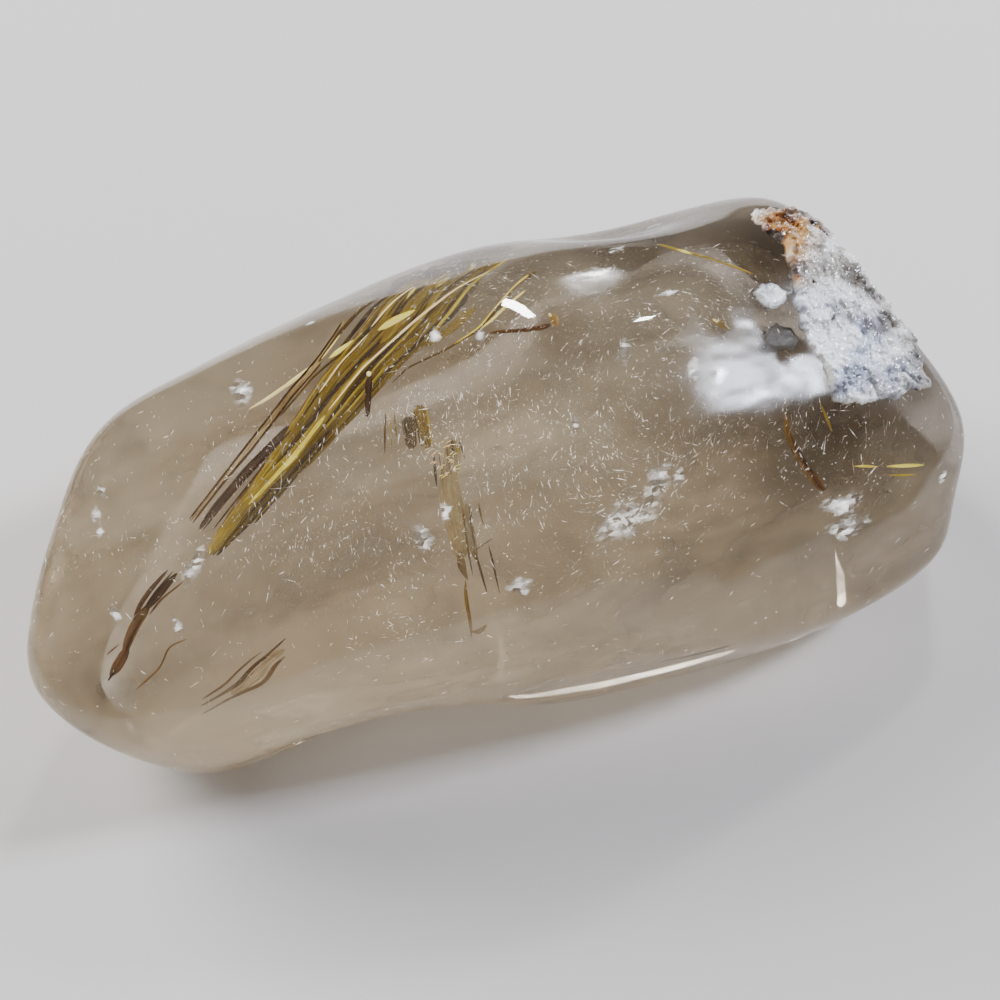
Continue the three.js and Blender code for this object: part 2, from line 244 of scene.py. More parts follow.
def blade(path, thick, tint, clear=0.0, taper=0.8, seed=0, sides=14):
    """One crystal: a squared oval profile carried along a path of (along, up, front, width).

    Profile: across = sign(cos) |cos|^square and through = sign(sin) |sin|^square, each with a
    groove depth of its own round the crystal, which makes the lengthwise striations. The width
    wanders by noise along the path and draws in over the last taper millimetres of each end.
    Gives points, triangles, and for each point (along mm, across from -1 to 1, tint, clearness).
    """
    path = np.array(path, float)
    lengths = np.linalg.norm(np.diff(path[:, :3], axis=0), axis=1)
    stations = np.concatenate([[0], np.cumsum(lengths)])
    along = np.linspace(0, stations[-1], max(7, int(stations[-1] / BLADE_STEP)) + 1)
    line = np.stack([np.interp(along, stations, column) for column in path.T], 1)
    for _ in range(2):
        line[1:-1] = (line[:-2] + 2 * line[1:-1] + line[2:]) / 4
    rng = np.random.default_rng(seed)
    turn = np.arange(sides) * 2 * np.pi / sides + 0.1
    groove = 1 + rng.uniform(-0.12, 0.06, sides)
    across = np.sign(np.cos(turn)) * np.abs(np.cos(turn)) ** BLADE_SQUARE * groove
    through = np.sign(np.sin(turn)) * np.abs(np.sin(turn)) ** BLADE_SQUARE * groove
    ends = np.minimum(np.minimum(along, along[::-1]) / taper, 1)
    narrow = 0.3 + 0.7 * np.sqrt(ends)
    place = np.stack([along, np.full_like(along, seed * 7.3), np.zeros_like(along)], 1)
    narrow *= 1 + BLADE_WANDER * value_noise(place, 1.6, seed)
    forward = np.gradient(line[:, :3], axis=0)
    forward /= np.linalg.norm(forward, axis=1, keepdims=True)
    side = np.cross(forward, (0, 0, 1))
    side /= np.linalg.norm(side, axis=1, keepdims=True)
    face = np.cross(side, forward)
    wide = line[:, 3] / 2 * narrow
    deep = thick / 2 * np.minimum(narrow, 1)
    rings = (line[:, None, :3] + side[:, None] * (wide[:, None] * across)[..., None]
             + face[:, None] * (deep[:, None] * through)[..., None])
    count = len(along)
    points = np.concatenate([rings.reshape(-1, 3), line[:1, :3], line[-1:, :3]])
    ring, step = np.meshgrid(np.arange(count - 1), np.arange(sides), indexing="ij")
    here, next_ = ring * sides + step, ring * sides + (step + 1) % sides
    quads = np.stack([here, next_, next_ + sides, here + sides], -1).reshape(-1, 4)
    step = np.arange(sides)
    start = np.stack([np.full(sides, count * sides), (step + 1) % sides, step], 1)
    last = (count - 1) * sides
    end = np.stack([np.full(sides, count * sides + 1), last + step, last + (step + 1) % sides], 1)
    faces = np.concatenate([split_quads(quads), start, end])
    grain = np.empty((len(points), 4))
    grain[:-2, 0] = np.repeat(along, sides)
    grain[:-2, 1] = np.tile(across, count)
    grain[-2:, :2] = (0, 0), (along[-1], 0)
    grain[:, 2:] = tint, clear
    return from_plane(points), faces, grain


def join(parts):
    """Several (points, faces, grain) sets as one."""
    starts = np.cumsum([0] + [len(part[0]) for part in parts[:-1]])
    return (np.concatenate([part[0] for part in parts]),
            np.concatenate([part[1] + start for part, start in zip(parts, starts)]),
            np.concatenate([part[2] for part in parts]))


def between(left, right, share, start, end, width, front, count=14):
    """A path between two edge lines of equal length: at each station the point lies the given
    share of the way from left to right, from start to end of the lines."""
    left, right = np.array(left, float), np.array(right, float)
    pick = np.linspace(start, end, count) * (len(left) - 1)
    edge = [np.interp(pick, np.arange(len(left)), column) for column in left.T]
    other = [np.interp(pick, np.arange(len(right)), column) for column in right.T]
    share = np.linspace(*share, count) if np.ndim(share) else share
    u = edge[0] + (other[0] - edge[0]) * share
    v = edge[1] + (other[1] - edge[1]) * share
    return np.stack([u, v, np.full(count, front), np.full(count, width)], 1)


def bell_curves(points, hills):
    """The sum of strength x exp(-(distance / radius)²) over (middle, radius, strength)."""
    return sum(strength * np.exp(-((points - np.array(middle)) ** 2).sum(-1) / radius ** 2)
               for middle, radius, strength in hills)


def polar_grid(rings, spokes):
    """The radii and angles of a round sheet's rings, and its faces: a fan of triangles round the
    middle point, which comes first, and then rings of two triangles to a cell."""
    radius, angle = np.linspace(0, 1, rings + 1)[1:], np.arange(spokes) * 2 * np.pi / spokes
    step = np.arange(spokes)
    beside = (step + 1) % spokes
    ring = np.arange(rings - 1)[:, None] * spokes + 1
    here, next_ = ring + step, ring + beside
    quads = np.stack([here, here + spokes, next_ + spokes, next_], -1).reshape(-1, 4)
    middle = np.stack([np.zeros(spokes, int), 1 + step, 1 + beside], 1)
    return radius, angle, np.concatenate([split_quads(quads), middle])


def skin_veil(depth, shape, seed):
    """A thin cloudy layer under the skin, all round the stone.

    Grid of compass direction and slope: the skin point along that direction, moved straight in
    by the depth x (1 - 0.6 x behind) x (1 + 0.4 noise). It is densest where the skin faces away
    from the front, milky on the lower faces and faint where flecks crowd.
    """
    turns, slopes, low_end, high_end = 400, 140, math.radians(-55), math.radians(80)
    turn, slope = np.meshgrid(np.radians(np.linspace(-205, 155, turns)),
                              np.linspace(low_end, high_end, slopes), indexing="ij")
    rays = np.stack([np.cos(turn) * np.cos(slope), np.sin(turn) * np.cos(slope),
                     np.sin(slope)], -1)
    skin, out = on_skin(rays.reshape(-1, 3) * GRID_SHAPE, *shape)
    behind = np.clip(0.7 - 1.6 * out @ PLANE_AXES[2], 0, 1)
    deep = depth * (1 - 0.6 * behind) * (1 + 0.4 * layered_noise(skin, 5.0, seed))
    points = skin - out * deep[:, None]
    rim = np.clip(np.minimum(slope - low_end, high_end - slope).ravel() / 0.3, 0, 1)
    low = np.clip(1 - 1.6 * out[:, 2], 0, 1)
    share = np.minimum(0.26 * bell_curves(points, CROWDED)
                       + 0.8 * low * bell_curves(points, MILKY) + 0.62 * behind, 1)
    return (keep_inside(points, *shape, margin=0.25), split_quads(grid_quads(turns, slopes)),
            share * rim)


def cloudiness(points, size, seed, thin, thick):
    """How cloudy a veil is at points: noise drawn out along the stone, from thin to thick."""
    smoke = layered_noise(points * (0.4, 1.0, 1.0), size, seed, 6)
    return thin + (thick - thin) * np.clip(0.5 + 0.75 * smoke, 0, 1)


def veil_sheet(level, reach, crumple, shape, seed):
    """A cloudy sheet along the leaning plane, at a level in front of the stone's centre.

    Polar grid: centre + direction(angle) x distance to the skin x reach x radius. It is moved out
    of its plane by layered noise x (1 - radius³), and its last 7% thins out.
    """
    spokes = 320
    radius, angle, faces = polar_grid(90, spokes)
    ways = from_plane(np.stack([np.cos(angle), np.sin(angle), np.zeros(spokes)], 1))
    centre = from_plane((0, 0, level))
    rim, _ = on_skin(ways, *shape, start=centre)
    sheet = centre + (rim - centre) * reach * radius[:, None, None]
    lift = crumple * layered_noise(sheet * (0.45, 1, 1), 7.0, seed) * (1 - radius[:, None] ** 3)
    sheet = sheet + lift[..., None] * PLANE_AXES[2]
    points = np.concatenate([centre[None], sheet.reshape(-1, 3)])
    fade = np.concatenate([[1.0], np.repeat(np.clip((1 - radius) / 0.07, 0.2, 1), spokes)])
    return keep_inside(points, *shape, margin=0.22), faces, fade


def spots_under_skin(count, depth, shape, seed):
    """Random places under the skin, more of them near the crowded parts of the stone, and the
    direction out, along and across there."""
    rng = np.random.default_rng(seed)
    skin, out = on_skin(rng.normal(size=(count * 8, 3)) * GRID_SHAPE, *shape)
    crowd = 0.1 + bell_curves(skin, CROWDED)
    crowd *= 1 + 1.1 * layered_noise(skin * (0.5, 1, 1), 4.0, seed + 1)
    taken = (rng.random(len(skin)) < crowd / 1.6) & (skin[:, 2] > BASE_LEVEL + 1)
    keep = np.nonzero(taken)[0][:count]
    skin, out = skin[keep], out[keep]
    along = np.cross(out, (0.0, -0.5, 1.0))
    along *= np.sign(along[:, :1])
    along /= np.linalg.norm(along, axis=1, keepdims=True)
    deep = 0.12 + rng.exponential(depth, len(skin))
    return skin - out * deep[:, None], out, along, np.cross(out, along), rng


def lie(spread, along, across, rng):
    """Directions in the skin: six in ten near the polish marks, within the spread in radians,
    and the others any way."""
    count = len(along)
    turn = np.where(rng.random(count) < 0.6, rng.normal(0.15, spread, count),
                    rng.uniform(-1.6, 1.6, count))
    return along * np.cos(turn)[:, None] + across * np.sin(turn)[:, None]


def flecks(count, length, shape, seed):
    """Tiny bright flecks: each is an eight-sided double pyramid, long along the polish marks."""
    spots, out, along, across, rng = spots_under_skin(count, 0.8, shape, seed)
    count = len(spots)
    way = lie(0.35, along, across, rng)
    long = np.clip(rng.lognormal(math.log(length), 1.0, count), 0.05, 1.6)[:, None] / 2
    wide = np.clip(long * rng.uniform(0.08, 0.35, (count, 1)), 0.01, 0.03)
    lean = out + 0.5 * rng.normal(size=(count, 3))
    flat = np.cross(lean, way)
    flat /= np.linalg.norm(flat, axis=1, keepdims=True)
    thick = np.cross(way, flat)
    corners = np.stack([spots + way * long, spots - way * long, spots + flat * wide,
                        spots - flat * wide, spots + thick * wide / 2, spots - thick * wide / 2], 1)
    faces = np.array([(0, 2, 4), (2, 1, 4), (1, 3, 4), (3, 0, 4),
                      (2, 0, 5), (1, 2, 5), (3, 1, 5), (0, 3, 5)])
    return corners.reshape(-1, 3), (faces + np.arange(count)[:, None, None] * 6).reshape(-1, 3)


def scratches(count, shape, seed):
    """Fine curved healed cracks: a three-sided thread along an arc, thickest in its middle."""
    spots, out, along, across, rng = spots_under_skin(count, 0.7, shape, seed)
    count = len(spots)
    way = lie(0.3, along, across, rng)
    side = np.cross(out, way)
    reach = np.clip(rng.lognormal(math.log(0.17), 0.8, count), 0.06, 1.5)
    bend = np.where(rng.random(count) < 0.75, rng.normal(0, 0.12, count),
                    rng.normal(0, 0.7, count))
    steps = np.linspace(-1, 1, 9)
    line = (spots[:, None] + way[:, None] * (reach[:, None] * steps)[..., None]
            + side[:, None] * ((bend * reach)[:, None] * steps ** 2)[..., None])
    thick = 0.012 * np.sqrt(np.clip(1.02 - steps ** 2, 0, 1))
    turn = np.arange(3) * 2 * np.pi / 3
    ring = side[:, None, None] * np.cos(turn)[:, None] + out[:, None, None] * np.sin(turn)[:, None]
    points = line[:, :, None] + ring * thick[None, :, None, None]
    here = (np.arange(8)[:, None] * 3 + np.arange(3)).ravel()
    next_ = (np.arange(8)[:, None] * 3 + (np.arange(3) + 1) % 3).ravel()
    faces = np.concatenate([split_quads(np.stack([here, here + 3, next_ + 3, next_], 1)),
                            [(0, 2, 1), (24, 25, 26)]])
    points = keep_inside(points.reshape(-1, 3), *shape, margin=0.08)
    return points, (faces + np.arange(count)[:, None, None] * 27).reshape(-1, 3)


def crack_sheet(middle, size, deep, lean, shape, seed):
    """A small crumpled fracture under the skin.

    Polar grid whose outline radius is 1 + 0.45 noise(angle), crumpled by sharp layered noise.
    """
    skin, out = on_skin(np.array([middle], float), *shape)
    out = out[0]
    along = np.cross(out, (0, -0.5, 1.0))
    along /= np.linalg.norm(along)
    across = np.cross(out, along)
    way = along * math.cos(lean) + across * math.sin(lean)
    side = np.cross(out, way)
    spokes = 40
    radius, angle, faces = polar_grid(11, spokes)
    circle = np.stack([np.cos(angle), np.sin(angle), np.zeros(spokes)], 1)
    outline = 1 + 0.45 * layered_noise(circle + seed, 0.9, seed, 3)
    flat = (radius[:, None] * outline)[..., None]
    place = flat * (np.cos(angle)[:, None] * way * size[0]
                    + np.sin(angle)[:, None] * side * size[1])
    lift = 0.3 * min(size) * layered_noise(place, 0.9, seed + 1)
    points = skin[0] - out * deep + place + lift[..., None] * out
    points = np.concatenate([skin - out * deep, points.reshape(-1, 3)])
    fade = np.concatenate([[1.0], np.repeat(1 - radius, spokes)])
    return keep_inside(points, *shape, margin=0.1), faces, fade


def inside_outline(a, b, outline):
    """Distance from an outline of straight edges, positive inside it: the least distance to an
    edge, with the sign from counting how many edges a level line to the right crosses."""
    start = np.array(outline, float)
    end = np.roll(start, -1, axis=0)
    edge = end - start
    to_point = np.stack([a, b], -1)[..., None, :] - start
    part = np.clip((to_point * edge).sum(-1) / (edge ** 2).sum(-1), 0, 1)
    distance = np.linalg.norm(to_point - part[..., None] * edge, axis=-1).min(-1)
    b = b[..., None]
    crosses = (start[:, 1] > b) != (end[:, 1] > b)
    rise = np.where(edge[:, 1] == 0, 1e-9, edge[:, 1])
    where = start[:, 0] + (b - start[:, 1]) * edge[:, 0] / rise
    inside = (crosses & (a[..., None] < where)).sum(-1) % 2 == 1
    return np.where(inside, distance, -distance)


def broken_steps(a, b, size, seed):
    """Broken plates: every point takes the height and tilt of its nearest random centre."""
    rng = np.random.default_rng(seed)
    count = int(np.ptp(a) * np.ptp(b) / size ** 2)
    centres = np.stack([rng.uniform(a.min(), a.max(), count),
                        rng.uniform(b.min(), b.max(), count)], 1)
    points = np.stack([a.ravel(), b.ravel()], 1)
    nearest = ((points[:, None] - centres) ** 2).sum(-1).argmin(1)
    offset = points - centres[nearest]
    tilt = rng.normal(0, 0.35, (count, 2))
    height = rng.uniform(-1, 1, count)
    return (height[nearest] + (offset * tilt[nearest]).sum(1) / size).reshape(a.shape)


FACE_OUT = np.array([0.372, -0.335, 0.866])  # straight out of the rough natural face
FACE_ALONG = np.array([0.919, 0.0, -0.395])
FACE_UP = np.cross(FACE_OUT, FACE_ALONG)
FACE_MIDDLE = np.array([33.5, 0.0, 8.0])
FACE_CAST = np.array([24.0, 1.0, -4.0])  # inside the stone, where the rays through the face start


def rough_patch(outline, spacing, relief, raised, shape, seed):
    """A patch of broken natural surface on the skin, as a closed shell.

    A grid on a flat plane over the face is cast on the skin by rays from a point inside the stone,
    and the outline, given as points of the stone, is cast on the plane the same way. Inside it the
    patch stands out of the skin by coarse and fine broken steps and noise; outside it sinks under
    the skin, where it is trimmed off and joined to a layer 0.3 mm lower.
    """
    rays = np.array(outline, float) - FACE_CAST
    rays *= ((FACE_MIDDLE - FACE_CAST) @ FACE_OUT / (rays @ FACE_OUT))[:, None]
    flat = (FACE_CAST + rays - FACE_MIDDLE) @ np.stack([FACE_ALONG, FACE_UP], 1)
    low, high = flat.min(0) - 1.0, flat.max(0) + 1.0
    rows, columns = np.maximum(((high - low) / spacing).astype(int), 8)
    a, b = np.meshgrid(np.linspace(low[0], high[0], rows),
                       np.linspace(low[1], high[1], columns), indexing="ij")
    aim = FACE_MIDDLE + a[..., None] * FACE_ALONG + b[..., None] * FACE_UP
    skin, out = on_skin(aim.reshape(-1, 3) - FACE_CAST, *shape, start=FACE_CAST)
    place = np.stack([a, b, np.zeros_like(a)], -1)
    edge = inside_outline(a, b, flat) + 0.5 * layered_noise(place, 2.0, seed)
    rise = np.clip(edge / 0.4, -1, 1)
    steps = 0.5 * broken_steps(a, b, 1.7, seed) + 0.3 * broken_steps(a, b, 0.7, seed + 1)
    height = relief * (steps + 0.35 * layered_noise(place, 0.8, seed + 2)
                       + 0.5 * np.exp(-(edge / 0.35) ** 2) + 0.5)
    height = np.where(rise > 0, rise * (0.08 + np.maximum(height, -0.02)), 0.3 * rise)
    top = skin + out * (height.reshape(-1, 1) + raised)
    below = top - out * 0.3
    count = rows * columns
    inside = edge.ravel() > -0.2
    quads = grid_quads(rows, columns)
    quads = quads[inside[quads].all(1)]
    sides = np.concatenate([quads[:, [i, (i + 1) % 4]] for i in range(4)])
    lone = ~np.isin(sides[:, 0] * count + sides[:, 1], sides[:, 1] * count + sides[:, 0])
    first, second = sides[lone].T
    wall = np.stack([second, first, first + count, second + count], 1)
    faces = np.concatenate([quads, quads[:, ::-1] + count, wall])
    used, faces = np.unique(faces, return_inverse=True)
    return np.concatenate([top, below])[used], faces.reshape(-1, 4)


# ---- pieces and materials in Blender ----

def make_piece(name, points, faces, material, slot, replaced=(), smooth=True, **attributes):
    """A mesh object of points around the stone's centre, that rides on the stone."""
    mesh = bpy.data.meshes.new(name)
    mesh.vertices.add(len(points))
    mesh.vertices.foreach_set("co", ((points + STONE_CENTRE) * MM).ravel())
    mesh.loops.add(faces.size)
    mesh.loops.foreach_set("vertex_index", faces.ravel())
    mesh.polygons.add(len(faces))
    mesh.polygons.foreach_set("loop_start", np.arange(len(faces)) * faces.shape[1])
    mesh.update(calc_edges=True)
    mesh.polygons.foreach_set("use_smooth", np.full(len(faces), smooth))
    for key, values in attributes.items():
        kind = "FLOAT_VECTOR" if values.ndim == 2 else "FLOAT"
        field = mesh.attributes.new(key, kind, "POINT")
        field.data.foreach_set("vector" if values.ndim == 2 else "value", values.ravel())
    mesh.materials.append(material)
    piece = bpy.data.objects.new(name, mesh)
    bpy.context.scene.collection.objects.link(piece)
    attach(piece, "root")
    if replaced:
        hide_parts(*replaced)
    return piece


def add_node(tree, kind, inputs=None, links=None, stops=None, **settings):
    """Adds a node with its settings, its input values, the sockets that feed it, and for a
    colour ramp its stops as (place, colour)."""
    node = tree.nodes.new(kind)
    for key, value in settings.items():
        setattr(node, key, value)
    for key, value in (inputs or {}).items():
        node.inputs[key].default_value = value
    for key, socket in (links or {}).items():
        tree.links.new(socket, node.inputs[key])
    if stops:
        elements = node.color_ramp.elements
        while len(elements) < len(stops):
            elements.new(0.5)
        for element, (place, colour) in zip(elements, stops):
            element.position = place
            element.color = colour
    return node


def new_material(name):
    """An empty node material and its tree. What glows faintly in it isn't used as a lamp."""
    material = bpy.data.materials.new(name)
    material.use_nodes = True
    material.node_tree.nodes.clear()
    material.cycles.emission_sampling = "NONE"
    return material, material.node_tree


def attribute(tree, name):
    """The value that a piece carries at each of its points under a name."""
    return add_node(tree, "ShaderNodeAttribute", attribute_name=name).outputs["Fac"]


def remap(tree, value, start, end, low, high, **settings):
    """Runs from low to high while the value runs from start to end."""
    return add_node(tree, "ShaderNodeMapRange", {
        "From Min": start, "From Max": end, "To Min": low, "To Max": high},
        {"Value": value}, **settings).outputs["Result"]


def calculate(tree, operation, *terms, clamp=False):
    """A math node over terms that are numbers or sockets."""
    numbers = {i: term for i, term in enumerate(terms) if isinstance(term, float)}
    sockets = {i: term for i, term in enumerate(terms) if not isinstance(term, float)}
    return add_node(tree, "ShaderNodeMath", numbers, sockets, operation=operation,
                    use_clamp=clamp).outputs["Value"]


def ramp(tree, value, stops):
    """A colour ramp over a value, from stops of a place and an sRGB hex colour."""
    return add_node(tree, "ShaderNodeValToRGB", links={"Fac": value}, stops=[
        (place, linear(colour)) for place, colour in stops]).outputs["Color"]


def mix(tree, share, first, second):
    """The first colour turning into the second, a socket or a plain colour, by a share."""
    plain = {7: second} if isinstance(second, tuple) else {}
    links = {"Factor": share, 6: first} | ({} if plain else {7: second})
    return add_node(tree, "ShaderNodeMix", plain, links, data_type="RGBA").outputs[2]


def add_surface(tree, inputs, links, volume=None):
    """The shader with its plain values and its linked sockets, set as the material's surface."""
    shader = add_node(tree, "ShaderNodeBsdfPrincipled", inputs, links)
    ends = {"Surface": shader.outputs["BSDF"]} | ({"Volume": volume} if volume else {})
    add_node(tree, "ShaderNodeOutputMaterial", links=ends)


def polished_quartz(look):
    """Macrocrystalline quartz, hand ground and polished: a clear glassy body that turns beige where
    it is thick, with a satin haze where the crown was left less polished."""
    material, tree = new_material("polished clear quartz")
    rough = remap(tree, attribute(tree, "satin"), 0.04, 1.0, 0.0, 0.32)
    inside = add_node(tree, "ShaderNodeVolumeAbsorption", {
        "Color": look.depth_colour, "Density": look.depth_density})
    add_surface(tree, {"Base Color": look.clear_colour, "IOR": 1.544, "Transmission Weight": 1.0},
                {"Roughness": rough}, inside.outputs["Volume"])
    return material


def rutile(name, stops, look):
    """Rutile, as it grew: slender striated crystals with an adamantine, nearly metallic lustre,
    clear golden brown where light comes through. Its index of 2.65 counts against the quartz
    around it, 1.72, and is set lower so that the sky's mirror image doesn't grey the brown."""
    material, tree = new_material(name)
    grain = add_node(tree, "ShaderNodeAttribute", attribute_name="grain").outputs["Vector"]
    parts = add_node(tree, "ShaderNodeSeparateXYZ", links={"Vector": grain})
    # Striations: fine across the crystal, running several millimetres along it.
    drawn = add_node(tree, "ShaderNodeMapping", {"Scale": (0.5, 5.0, 9.0)}, {"Vector": grain})
    streaks = add_node(tree, "ShaderNodeTexNoise", {"Scale": 1.0, "Detail": 3.0, "Roughness": 0.65},
                       {"Vector": drawn.outputs["Vector"]}).outputs["Fac"]
    shift = remap(tree, streaks, 0.3, 0.7, -0.2, 0.2, clamp=False)
    tint = calculate(tree, "ADD", parts.outputs["Z"], shift, clamp=True)
    colour = ramp(tree, tint, stops)
    # Pale crystals are given a painted glow, an emission as if they gathered light, and broad thin
    # blades let the stone behind them show through.
    glow = remap(tree, tint, 0.62, 0.95, look.painted_rutile_glow, look.painted_rutile_glow * 4)
    uneven = remap(tree, streaks, 0.35, 0.65, 0.55, 1.25)
    gone = calculate(tree, "MULTIPLY", attribute(tree, "clear"), uneven)
    alpha = calculate(tree, "SUBTRACT", 1.0, gone, clamp=True)
    add_surface(tree, {"Roughness": 0.25, "IOR": 1.45, "Specular IOR Level": 0.25}, {
        "Base Color": colour, "Emission Color": colour, "Emission Strength": glow, "Alpha": alpha})
    return material


def cloudy_veil(look):
    """Cloudy veils: healed cracks full of bubbles too small to see, so they look like thin white
    smoke drawn out along the stone, finer near the skin."""
    material, tree = new_material("cloudy veil in quartz")
    # Painted shade: the veils take the shade colour at the blunt end and back rim.
    colour = add_node(tree, "ShaderNodeMix", {6: look.veil_colour, 7: look.smoky_colour},
                      {"Factor": attribute(tree, "smoky")}, data_type="RGBA").outputs[2]
    # The milk along the lower edge gets a painted glow: an emission that stands in for light
    # gathered from all of the stone.
    painted_milk_light = calculate(tree, "MULTIPLY", attribute(tree, "milk"), look.painted_milk_glow)
    add_surface(tree, {
        "Roughness": 0.8, "Specular IOR Level": 0.0, "Emission Color": look.painted_milk_glow_colour}, {
        "Base Color": colour, "Alpha": attribute(tree, "cloud"), "Emission Strength": painted_milk_light})
    return material


def bright_fleck():
    """Flecks and fine healed cracks: films of air in the quartz, with painted glints: some glow
    white while most are hardly paler than the stone."""
    material, tree = new_material("air film flecks")
    place = add_node(tree, "ShaderNodeTexCoord").outputs["Object"]
    # Every 0.4 mm a new painted glint: a random brightness and glow that stand in for the way the
    # films lie to the light.
    cell = add_node(tree, "ShaderNodeVectorMath", {1: (0.0004, 0.0004, 0.0004)}, {0: place},
                    operation="SNAP")
    painted_glint = add_node(tree, "ShaderNodeTexWhiteNoise",
                     links={"Vector": cell.outputs["Vector"]}).outputs["Value"]
    colour = ramp(tree, painted_glint, [(0.0, "8F8474"), (0.35, "B8AD9B"), (0.65, "DCD5C8"),
                                (0.9, "FFFFFF")])
    bright = remap(tree, painted_glint, 0.6, 1.0, 0.0, 2.0)
    add_surface(tree, {"Roughness": 0.3, "Emission Color": linear("FFFBF2")},
                {"Base Color": colour, "Emission Strength": bright})
    return material


def fracture_film():
    """Open fractures: crumpled films of air in small facets with painted glints, some of them
    glowing white, others nearly out of sight."""
    material, tree = new_material("air film in a fracture")
    place = add_node(tree, "ShaderNodeTexCoord").outputs["Object"]
    drawn = add_node(tree, "ShaderNodeMapping", {"Rotation": (0, 0, -0.3), "Scale": (0.4, 1, 1)},
                     {"Vector": place}).outputs["Vector"]
    # Facets nearly 0.4 mm wide and 1 mm long, each a painted glint, one dark, the next one bright
    # and glowing.
    facets = add_node(tree, "ShaderNodeTexVoronoi", {"Scale": 2600.0}, {"Vector": drawn})
    painted_flash = add_node(tree, "ShaderNodeSeparateColor",
                     links={"Color": facets.outputs["Color"]}).outputs["Red"]
    colour = ramp(tree, painted_flash, [(0.0, "857B6D"), (0.25, "C6C0B6"), (0.5, "F0EFED"),
                                (0.8, "FFFFFF")])
    bright = remap(tree, painted_flash, 0.3, 1.0, 0.0, 2.2)
    streaks = add_node(tree, "ShaderNodeTexNoise", {
        "Scale": 1500.0, "Detail": 5.0, "Roughness": 0.7, "Distortion": 0.8},
        {"Vector": drawn}).outputs["Fac"]
    middle = calculate(tree, "MULTIPLY_ADD", attribute(tree, "fade"), 0.7, streaks)
    alpha = remap(tree, middle, 0.6, 1.2, 0.0, 0.85)
    add_surface(tree, {"Roughness": 0.15, "Emission Color": linear("FDFEFF")},
                {"Base Color": colour, "Alpha": alpha, "Emission Strength": bright})
    return material


def natural_quartz():
    """The natural skin of the crystal, never polished: broken and etched, so it scatters light
    white like frosted glass, its whitest part tinted bluish as a painted highlight, with rust from
    iron water in its upper corner and darkened spots, and the window painted dark as shade."""
    material, tree = new_material("rough natural quartz")
    tone, stain, frost, grime = [
        attribute(tree, name) for name in ("tone", "stain", "frost", "grime")]
    dull = ramp(tree, tone, [(0.15, "665E54"), (0.38, "877F74"), (0.55, "A39D93"),
                             (0.7, "C4C1BB"), (0.88, "F2F2F1")])
    # Frosting white, tinted bluish as a painted highlight of the side light.
    white = ramp(tree, tone, [(0.12, "7D7F88"), (0.3, "AEB4C6"), (0.46, "D9DFEE"), (0.6, "FDFEFF")])
    rust = ramp(tree, tone, [(0.3, "170C06"), (0.45, "4A270F"), (0.62, "85501E"), (0.8, "AC8450")])
    colour = mix(tree, stain, mix(tree, frost, dull, white), rust)
    colour = mix(tree, grime, colour, linear("0C0B0A"))
    add_surface(tree, {"Roughness": 0.22, "IOR": 1.544}, {"Base Color": colour})
    return material


# The lemon stops, at 0.88 in gold and 0.92 in brown, are painted glints.
GOLD_STOPS = [(0.0, "1E1004"), (0.2, "432A0A"), (0.42, "745812"), (0.6, "A0841A"),
              (0.76, "CDB432"), (0.88, "F5F058"), (1.0, "F2D3A8")]
BROWN_STOPS = [(0.0, "1C0A03"), (0.25, "47260E"), (0.5, "714A20"), (0.7, "A07E30"),
               (0.84, "D9BC86"), (0.92, "F2F06C"), (1.0, "F2DCB8")]


# ---- the rutile, piece by piece: paths of (along, up, front, width), thickness, tint ----

SHEAF_LEFT = [(-27.6, -1.4), (-23.6, 2.0), (-18.9, 6.2), (-14.2, 10.4), (-11.0, 12.6), (-7.6, 14.6),
              (-5.2, 16.6), (-3.0, 18.6)]
SHEAF_RIGHT = [(-26.8, -2.6), (-22.2, 0.0), (-16.4, 3.8), (-11.4, 7.0), (-7.4, 9.7), (-2.6, 12.2),
               (2.4, 15.8), (5.0, 17.8)]

